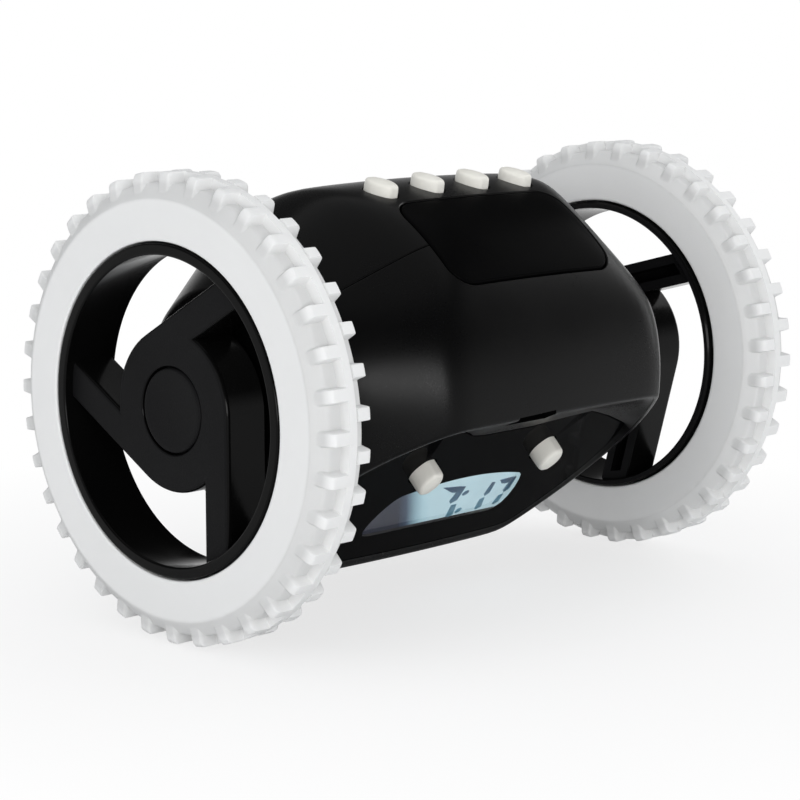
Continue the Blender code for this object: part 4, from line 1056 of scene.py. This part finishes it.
def window_outline(grow=0.0):
    """The display's window: a low arch over a flat sill, with its lower corners drawn in."""
    crown, bow = -4.2, 0.0084
    top = [(a, crown - bow * a * a) for a in np.linspace(17.0, -17.0, 36)]
    left = [(-a, b) for a, b in WINDOW_SIDE]
    outline = split_edges(np.array([*WINDOW_SIDE[::-1], *top, *left], float), 1.2)
    return grown(outline, grow) if grow else outline


def key_hole(side):
    """A front key's hole in the lens, in the face's own coordinates."""
    outline = grown(bowed_outline(*FRONT_KEY_SIZE), KEY_GAP)
    return outline + (side * FRONT_KEY_X, FRONT_KEY_RISE)


def inside(point, outline):
    a, b = point
    found = False
    for (a1, b1), (a2, b2) in zip(outline, np.roll(outline, -1, 0)):
        if (b1 > b) != (b2 > b) and a < (a2 - a1) * (b - b1) / (b2 - b1) + a1:
            found = not found
    return found


def face_lens():
    """Black lens, clear over the display, and at its back a little further out, for slanting sight lines."""
    rounding = 0.25
    holes = [key_hole(side) for side in SIDES.values()]
    top_loop, back_loop = (lens_loop(height, WALL + GAP) for height in (LENS_FRONT, LENS_BACK))
    edge_in = grown(top_loop, -rounding)
    levels = ((LENS_FRONT, edge_in, window_outline()), (LENS_BACK, back_loop, window_outline(WINDOW_SPLAY)))
    points, faces, clear, index = [], [], [], {}

    def number(a, b, c):
        key = (round(float(a), 4), round(float(b), 4), round(float(c), 4))
        if key not in index:
            index[key] = len(points)
            points.append(key)
        return index[key]

    for height, outer, window in levels:
        loops = [outer, *holes, window]
        flat = [Vector(point) for loop in loops for point in loop]
        edges, start = [], 0
        for loop in loops:
            edges += [(start + k, start + (k + 1) % len(loop)) for k in range(len(loop))]
            start += len(loop)
        found, _, triangles, _, _, _ = delaunay_2d_cdt(flat, edges, [], 0, 1e-6)
        for triangle in triangles:
            middle = sum((found[k] for k in triangle), Vector((0, 0))) / 3
            if not inside(middle, outer) or any(inside(middle, hole) for hole in holes):
                continue
            faces.append(tuple(number(*found[k], height) for k in triangle))
            clear.append(inside(middle, window))
    walls = [((edge_in, LENS_FRONT), (top_loop, LENS_FRONT - rounding))]
    walls += [((top_loop, LENS_FRONT - rounding), (back_loop, LENS_BACK))]
    walls += [((hole, LENS_FRONT), (hole, LENS_BACK)) for hole in holes]
    for (upper, high), (lower, low) in walls:
        for k in range(len(upper)):
            j = (k + 1) % len(upper)
            corners = ((*upper[k], high), (*upper[j], high), (*lower[j], low), (*lower[k], low))
            faces.append(tuple(number(*corner) for corner in corners))
            clear.append(False)
    made = solid(placed(np.array(points), FACE), faces)
    chosen = {face.index: clear[face.index] for face in made.data.polygons}
    finish(
        made, "face_window", "housing", ["face_lens"], ["black_lens", "clear_window"],
        choose=lambda face: int(chosen[face.index]),
    )


STROKES = (
    ((-3.9, -7.9), (2.3, -8.8), (3.2, -10.9), (1.2, -10.7), (0.1, -10.3)),
    ((2.7, -8.9), (3.6, -9.2), (4.6, -13.9), (3.4, -14.9), (2.3, -13.9), (2.0, -10.7)),
    ((4.2, -15.7), (5.7, -15.6), (7.5, -19.5), (6.6, -20.3), (5.6, -19.9)),
    ((11.8, -9.7), (12.9, -9.9), (14.1, -13.7), (13.3, -14.7), (12.5, -13.9)),
    ((12.6, -15.6), (13.8, -15.3), (15.4, -18.7), (14.5, -19.5), (13.7, -19.2)),
    ((14.0, -9.5), (17.8, -9.1), (18.1, -11.1), (16.7, -11.2), (15.5, -10.9)),
    ((18.2, -9.1), (18.9, -9.4), (20.0, -13.8), (19.1, -14.7), (18.2, -13.9), (17.9, -11.1)),
    ((18.3, -15.6), (19.5, -15.4), (20.2, -18.2), (19.3, -19.0), (18.6, -18.6)),
)


def strokes():
    """Seven-segment strokes of a time, and its colon, as thin plates on the display."""
    place = FACE
    low, high = LCD_FRONT + 0.02, LCD_FRONT + 0.1
    shapes = [np.array(stroke, float) for stroke in STROKES]
    shapes += [circle(COLON_RADIUS, 24, centre) for centre in COLON_DOTS]
    points, faces = [], []
    for shape in shapes:
        area = np.sum(shape[:, 0] * np.roll(shape[:, 1], -1) - np.roll(shape[:, 0], -1) * shape[:, 1])
        shape = (shape if area > 0 else shape[::-1]) + STROKE_SHIFT
        start, count = len(points), len(shape)
        points += list(ring_at(shape, low, place)) + list(ring_at(shape, high, place))
        faces.append(tuple(start + k for k in range(count))[::-1])
        faces.append(tuple(start + count + k for k in range(count)))
        for k in range(count):
            j = (k + 1) % count
            faces.append((start + k, start + j, start + count + j, start + count + k))
    finish(solid(points, faces), "display_strokes", "housing", [], ["display_strokes"])


# Keys

def key_solid(outline, low, top, place, crown=1.1, flange=None):
    """A key: its sides draw in a little, its top edge rolls over, and its top is slightly domed."""
    dome, roll = 0.3, 0.75
    sections = [(grown(outline, 0.0), low), (grown(outline, -0.03), top - crown - 0.6)]
    for step in range(7):
        turn = math.radians(90 * step / 6)
        drawn = grown(outline, -0.08 - roll * (1 - math.cos(turn)))
        sections.append((drawn, top - dome - (crown - dome) * (1 - math.sin(turn))))
    inner = sections[-1][0]
    for share in (0.85, 0.7, 0.55, 0.4, 0.25, 0.1, 0.02):
        sections.append((inner * share, top - dome * share**2))
    made = stack(sections, place)
    if flange:
        half_a, half_b, thickness = flange
        weld(made, prism(rectangle(-half_a, half_a, -half_b, half_b), low, low + thickness, place))
    return made


def keys():
    outline = bowed_outline(*FRONT_KEY_SIZE)
    low = LENS_BACK - GAP - FRONT_KEY_FLANGE[2]
    for name, side in SIDES.items():
        made = key_solid(outline, low, FRONT_KEY_TOP, front_key_frame(side), 1.2, FRONT_KEY_FLANGE)
        key = f"front_key_{name}"
        finish(made, f"set_key_{name}", key, [key], ["off_white_key"])
    outline = bowed_outline(*TOP_KEY_SIZE)
    for number in range(1, 5):
        x = TOP_KEY_PITCH * (number - 2.5)
        top = float(skin_radius(np.array(x), TOP_KEY_ANGLE)) + TOP_KEY_PROUD
        low = top - TOP_KEY_PROUD - WALL - TOP_KEY_STEM
        made = key_solid(outline, low, top, outward_frame(TOP_KEY_ANGLE, x))
        key = f"top_key_{number}"
        finish(made, f"mode_key_{number}", key, [key], ["off_white_key"])


# Wheels

def spider_outline(turn, inset, reach=29.4, arc_steps=14, edge_steps=5):
    """Disc with three tangent spokes that run on into the rim, drawn in by the inset."""
    disc, low = HUB_DISC_RADIUS - inset, SPOKE_INNER_OFFSET + inset
    points = []
    for k in range(3):
        first = turn + 120 * k
        cosine, sine = math.cos(math.radians(first)), math.sin(math.radians(first))
        inner = math.sqrt(disc**2 - low**2)
        lower_end, upper_end = math.sqrt(reach**2 - low**2), math.sqrt(reach**2 - disc**2)
        local = [(inner + (lower_end - inner) * s / edge_steps, low) for s in range(edge_steps + 1)]
        local += [(upper_end * (1 - s / edge_steps), disc) for s in range(edge_steps)]
        next_turn = 120 + math.degrees(math.asin(low / disc))
        for s in range(arc_steps):
            arc = math.radians(90 + (next_turn - 90) * s / arc_steps)
            local.append((disc * math.cos(arc), disc * math.sin(arc)))
        points += [(a * cosine - b * sine, a * sine + b * cosine) for a, b in local]
    return np.array(points)


def wheel_hub(name, side):
    place = axle_frame(side)
    turn = SPOKE_TURN[name]
    back = WHEEL_FACE - HUB_WIDTH
    easing = 0.45
    turns = np.radians(np.linspace(0, 90, 6))
    bend = [(easing * (1 - math.sin(t)), easing * (1 - math.cos(t))) for t in turns]
    profile = [(HUB_FRONT_BORE + drop, WHEEL_FACE - grow) for grow, drop in bend]
    profile += [(HUB_RIM_RADIUS - drop, WHEEL_FACE - grow) for grow, drop in bend[::-1]]
    profile += [(HUB_RIM_RADIUS, back + 0.3), (HUB_RIM_RADIUS - 0.3, back)]
    profile += [(HUB_BACK_BORE + 0.2, back), (HUB_BACK_BORE, back + 0.2)]
    hub = turned(profile, place, 180)
    edge = ((0.9, 0.0), (0.62, 0.05), (0.36, 0.17), (0.17, 0.36), (0.05, 0.62), (0.0, 0.9))
    sections = [(spider_outline(turn, inset), HUB_FACE - drop) for inset, drop in edge]
    sections += [(spider_outline(turn, 0.0), HUB_BACK + 0.2), (spider_outline(turn, 0.2), HUB_BACK)]
    weld(hub, stack(sections, place))
    floor = HUB_FACE - HUB_SHELL
    hollow = spider_outline(turn, HUB_SHELL, 27.5)
    carve(hub, stack(((hollow, 0.0), (hollow, floor)), place))
    boss_back = HUB_FACE - HUB_BOSS_DEPTH
    steps = (
        (HUB_SOCKET_RADIUS - 0.3, HUB_BACK),
        (HUB_SOCKET_RADIUS, HUB_BACK + 0.3),
        (HUB_SOCKET_RADIUS, boss_back),
        (HUB_BOSS_RADIUS, boss_back),
        (HUB_BOSS_RADIUS, floor + HUB_SHELL / 2),
    )
    weld(hub, rod(steps, place, 72))
    recess = CAP_RADIUS + GAP
    mouth = [(recess, CAP_SEAT), (recess, HUB_FACE - 0.3), (recess + 0.1, HUB_FACE - 0.12)]
    mouth += [(recess + 0.3, HUB_FACE), (recess + 1.3, HUB_FACE + 0.6), (recess + 1.3, WIDE)]
    well, bore = SCREW_HEAD_RADIUS + GAP, AXLE_RADIUS + GAP
    carve(
        hub,
        rod(mouth, place, 96),
        peg(well, SCREW_SEAT - GAP, WIDE, place, 36),
        peg(bore, 0.0, SCREW_SEAT, place, 36),
    )
    outward = Vector((side, 0, 0))

    def glossy(face):
        """The sides and the ring's front shine; the spokes' and the disc's faces are textured."""
        return int(abs(face.normal.dot(outward)) < 0.8 or face.center.dot(outward) > HUB_FACE + 0.5)

    body, looks = f"wheel_{name}", ["textured_black", "gloss_black"]
    finish(hub, f"spoked_hub_{name}", body, [f"wheel_hub_{name}"], looks, AXLE, choose=glossy)
    steps = [(CAP_RADIUS - 0.3, CAP_SEAT + GAP), (CAP_RADIUS, CAP_SEAT + GAP + 0.3)]
    for t in turns:
        steps.append((CAP_RADIUS - 0.5 * (1 - math.cos(t)), HUB_FACE - 0.05 - 0.5 * (1 - math.sin(t))))
    steps += [(r, HUB_FACE - 0.05 - 0.3 * (1 - (r / 7.3) ** 2)) for r in (6.6, 5.6, 4.4, 3.0, 1.6, 0.3)]
    cap = rod(steps, place, 96)
    finish(cap, f"axle_cap_{name}", body, [f"hub_cap_{name}"], ["textured_black"], AXLE)


def tyre(name, side):
    """One fine grid over the whole tyre: carcass, middle band and two rows of blunt lugs are all heights."""
    base = np.interp(TREAD_ROWS, *np.array(TREAD_PROFILE).T)
    rows = list(BEAD) + [(0.0, radius) for radius in SIDEWALL_RADII]
    first_free = len(rows)
    rows += list(zip(TREAD_ROWS, base))
    last_free = len(rows)
    rows += [(TYRE_WIDTH, radius) for radius in SIDEWALL_RADII[::-1]]
    rows += [(TYRE_WIDTH - depth, radius) for depth, radius in BEAD[::-1]]
    to_turn, half = math.degrees(1 / LUG_RADIUS), LUG_PITCH / 2
    centres = (0.0, half)
    steps = [sign * arc * to_turn for arc in LUG_STEPS for sign in (-1, 1)]
    offsets = {round(centre + step, 5) for centre in centres for step in steps} | {half / 2, half * 1.5}
    turns = {round((LUG_PITCH * k + off) % 360, 5) for k in range(LUG_COUNT) for off in offsets}
    turns = np.array(sorted(turns))
    cosine, sine = np.cos(np.radians(turns)), np.sin(np.radians(turns))
    arcs = [np.abs((turns + 90.0 - stagger + half) % LUG_PITCH - half) / to_turn for stagger in centres]
    rings = []
    for number, (depth, radius) in enumerate(rows):
        height = np.full(len(turns), radius)
        if first_free <= number < last_free:
            band = min(depth - BAND_EDGES[0], BAND_EDGES[1] - depth) / BAND_SLOPE + 0.5
            height = height + (TYRE_RADIUS - BAND_DROP - height) * smooth_step(band)
            for arc, from_edge, limit in zip(arcs, (depth, TYRE_WIDTH - depth), LUG_REACH):
                if from_edge > limit:
                    continue
                over_a = np.maximum(arc - (LUG_HALF_WIDTH - LUG_CORNER), 0)
                over_b = max(LUG_START + LUG_CORNER - from_edge, 0.0)
                gap = np.hypot(over_a, over_b) - LUG_CORNER
                share = smooth_step(0.5 - gap / (2 * LUG_SOFTNESS))
                top = TYRE_RADIUS - LUG_SLUMP * smooth_step((LUG_SHOULDER - from_edge) / 1.1)
                crown = top - LUG_CROWN * np.clip(arc / LUG_HALF_WIDTH, 0, 1) ** 4
                height = np.maximum(height, radius + (crown - radius) * share)
        drawn = np.column_stack((height * cosine, height * sine))
        rings.append(ring_at(drawn, WHEEL_FACE - depth, axle_frame(side)))
    made = loft(rings, True)
    body, sharp = f"wheel_{name}", 50.0
    finish(made, f"rubber_tyre_{name}", body, [f"tyre_{name}"], ["white_rubber"], AXLE, sharp)


# Carried-over solids

def paint_nodes():
    """Gives each imported solid whose name it knows the look that suits its name."""
    finishes = {
        "lcd_glass": "lit_display", "lcd_backlight": "light_guide", "main_board": "board_green",
        "key_board": "board_green", "controller_chip": "chip_black", "speaker": "speaker_black",
    }
    starts = (
        ("battery_", "cell_sleeve"), ("contact_plate", "brass"), ("bushing", "brass"),
        ("motor_pinion", "brass"), ("motor_", "motor_case"), ("gear_frame", "gear_plastic"),
        ("idler_gear", "gear_plastic"), ("output_gear", "gear_plastic"), ("axle_", "bright_steel"),
        ("wheel_screw", "bright_steel"),
    )
    for name, node in frame["nodes"].items():
        found = finishes.get(name) or next((look for start, look in starts if name.startswith(start)), None)
        if found is None:
            continue
        for slot in node.material_slots:
            slot.material = LOOKS[found]


# Stage, lights and camera

def white_share(tree, shares):
    """How much of the white that only some rays see is mixed in: a share for rays from the camera,
    and a share for those that are mirrored or pass through something clear."""
    outputs = node(tree, "LightPath", {}).outputs
    mirrored = arithmetic(tree, "MAXIMUM", outputs["Is Glossy Ray"], outputs["Is Transmission Ray"])
    pairs = zip(shares, (outputs["Is Camera Ray"], mirrored))
    return arithmetic(tree, "MAXIMUM", *[arithmetic(tree, "MULTIPLY", *pair) for pair in pairs])


def stage():
    """A round floor. Near the clock it keeps more of its own shade, so that it holds the shadow."""
    mesh = bpy.data.meshes.new("floor")
    points = [(0.0, 0.0, 0.0)]
    count = 96
    steps = [2 * math.pi * k / count for k in range(count)]
    for radius in FLOOR_RADII:
        points += [(radius * math.cos(t), radius * math.sin(t), 0.0) for t in steps]
    faces = [(0, 1 + k, 1 + (k + 1) % count) for k in range(count)]
    for ring in range(len(FLOOR_RADII) - 1):
        start, after = 1 + ring * count, 1 + (ring + 1) * count
        pairs = [(k, (k + 1) % count) for k in range(count)]
        faces += [(start + k, after + k, after + j, start + j) for k, j in pairs]
    mesh.from_pydata(points, [], faces)
    floor = link(mesh, "floor")
    floor.location.z = -0.0002
    made, tree, shader, place = new_material("pale_floor")
    slow = noise(tree, place, 6.0)
    pale = ((0.3, (0.86, 0.86, 0.865)), (0.7, (0.9, 0.9, 0.905)))
    put(tree, shader, {"Base Color": ramp(tree, slow, pale), "Roughness": 0.6, "Specular IOR Level": 0.1})
    light = node(tree, "Emission", {"Color": (1, 1, 1, 1), "Strength": 1.0})
    distance = length_of(tree, place)
    shares = [spread(tree, distance, *limits) for limits in FLOOR_WHITE]
    values = {"Fac": white_share(tree, shares), 1: shader.outputs["BSDF"], 2: light.outputs["Emission"]}
    mix = node(tree, "MixShader", values)
    put(tree, tree.nodes["Material Output"], {"Surface": mix.outputs["Shader"]})
    mesh.materials.append(made)


def world():
    """A pale room that lights the clock, with a white that camera and mirrored rays see, fading upwards."""
    made = bpy.data.worlds.new("studio")
    bpy.context.scene.world = made
    made.use_nodes = True
    tree = made.node_tree
    background = tree.nodes["Background"]
    put(tree, background, {"Color": (0.96, 0.98, 1.0, 1), "Strength": 0.62})
    direction = node(tree, "SeparateXYZ", {"Vector": node(tree, "TexCoord", {}).outputs["Generated"]})
    fade = spread(tree, direction.outputs["Z"], 1.0, 0.1, 0.04, 0.3)
    white = node(tree, "Background", {"Color": (1, 1, 1, 1), "Strength": fade})
    outputs = {1: background.outputs["Background"], 2: white.outputs["Background"]}
    mix = node(tree, "MixShader", {"Fac": white_share(tree, (1.0, 1.0)), **outputs})
    put(tree, tree.nodes["World Output"], {"Surface": mix.outputs["Shader"]})


def area_light(name, place, size, power):
    """A soft lamp aimed at the middle of the clock."""
    data = bpy.data.lights.new(name, "AREA")
    data.shape = "RECTANGLE"
    data.size, data.size_y = size
    data.energy = power
    made = link(data, name)
    made.location = place
    made.rotation_euler = (Vector(LAMP_AIM) - Vector(place)).to_track_quat("-Z", "Y").to_euler()


def camera():
    """The photograph's view, from ahead of the clock and to its left, looking a little downwards."""
    azimuth, elevation = (math.radians(angle) for angle in CAMERA_ANGLES)
    level = math.cos(elevation)
    back = Vector((math.sin(azimuth) * level, -math.cos(azimuth) * level, math.sin(elevation)))
    forward = -back
    right = forward.cross(Vector((0, 0, 1))).normalized()
    up = right.cross(forward)
    yaw, pitch = (math.atan2(offset, CAMERA_FOCAL) for offset in CAMERA_OFFSETS)
    yawed = Matrix.Rotation(yaw, 3, up)
    forward, right = yawed @ forward, yawed @ right
    pitched = Matrix.Rotation(pitch, 3, right)
    forward, up = pitched @ forward, pitched @ up
    data = bpy.data.cameras.new("camera")
    data.sensor_width = 36.0
    data.lens = CAMERA_FOCAL / IMAGE_SIZE * 36.0
    data.clip_start, data.clip_end = 0.01, 50.0
    made = link(data, "camera")
    place = back * CAMERA_DISTANCE + Vector((CAMERA_AIM_X, 0, TYRE_RADIUS))
    turn = Matrix((right, up, -forward)).transposed().to_4x4()
    made.matrix_world = Matrix.Translation(place * MM) @ turn
    bpy.context.scene.camera = made


def main():
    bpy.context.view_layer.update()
    camera()
    world()
    stage()
    for name, *setting in LAMPS:
        area_light(name, *setting)
    shell = whole_shell()
    front_shell(copy_of(shell))
    rear_shell(shell)
    snooze_bar()
    battery_cover()
    screws()
    face_lens()
    strokes()
    keys()
    for name, side in SIDES.items():
        wheel_hub(name, side)
        tyre(name, side)
    paint_nodes()
    bpy.context.scene.view_settings.view_transform = "Standard"


main()
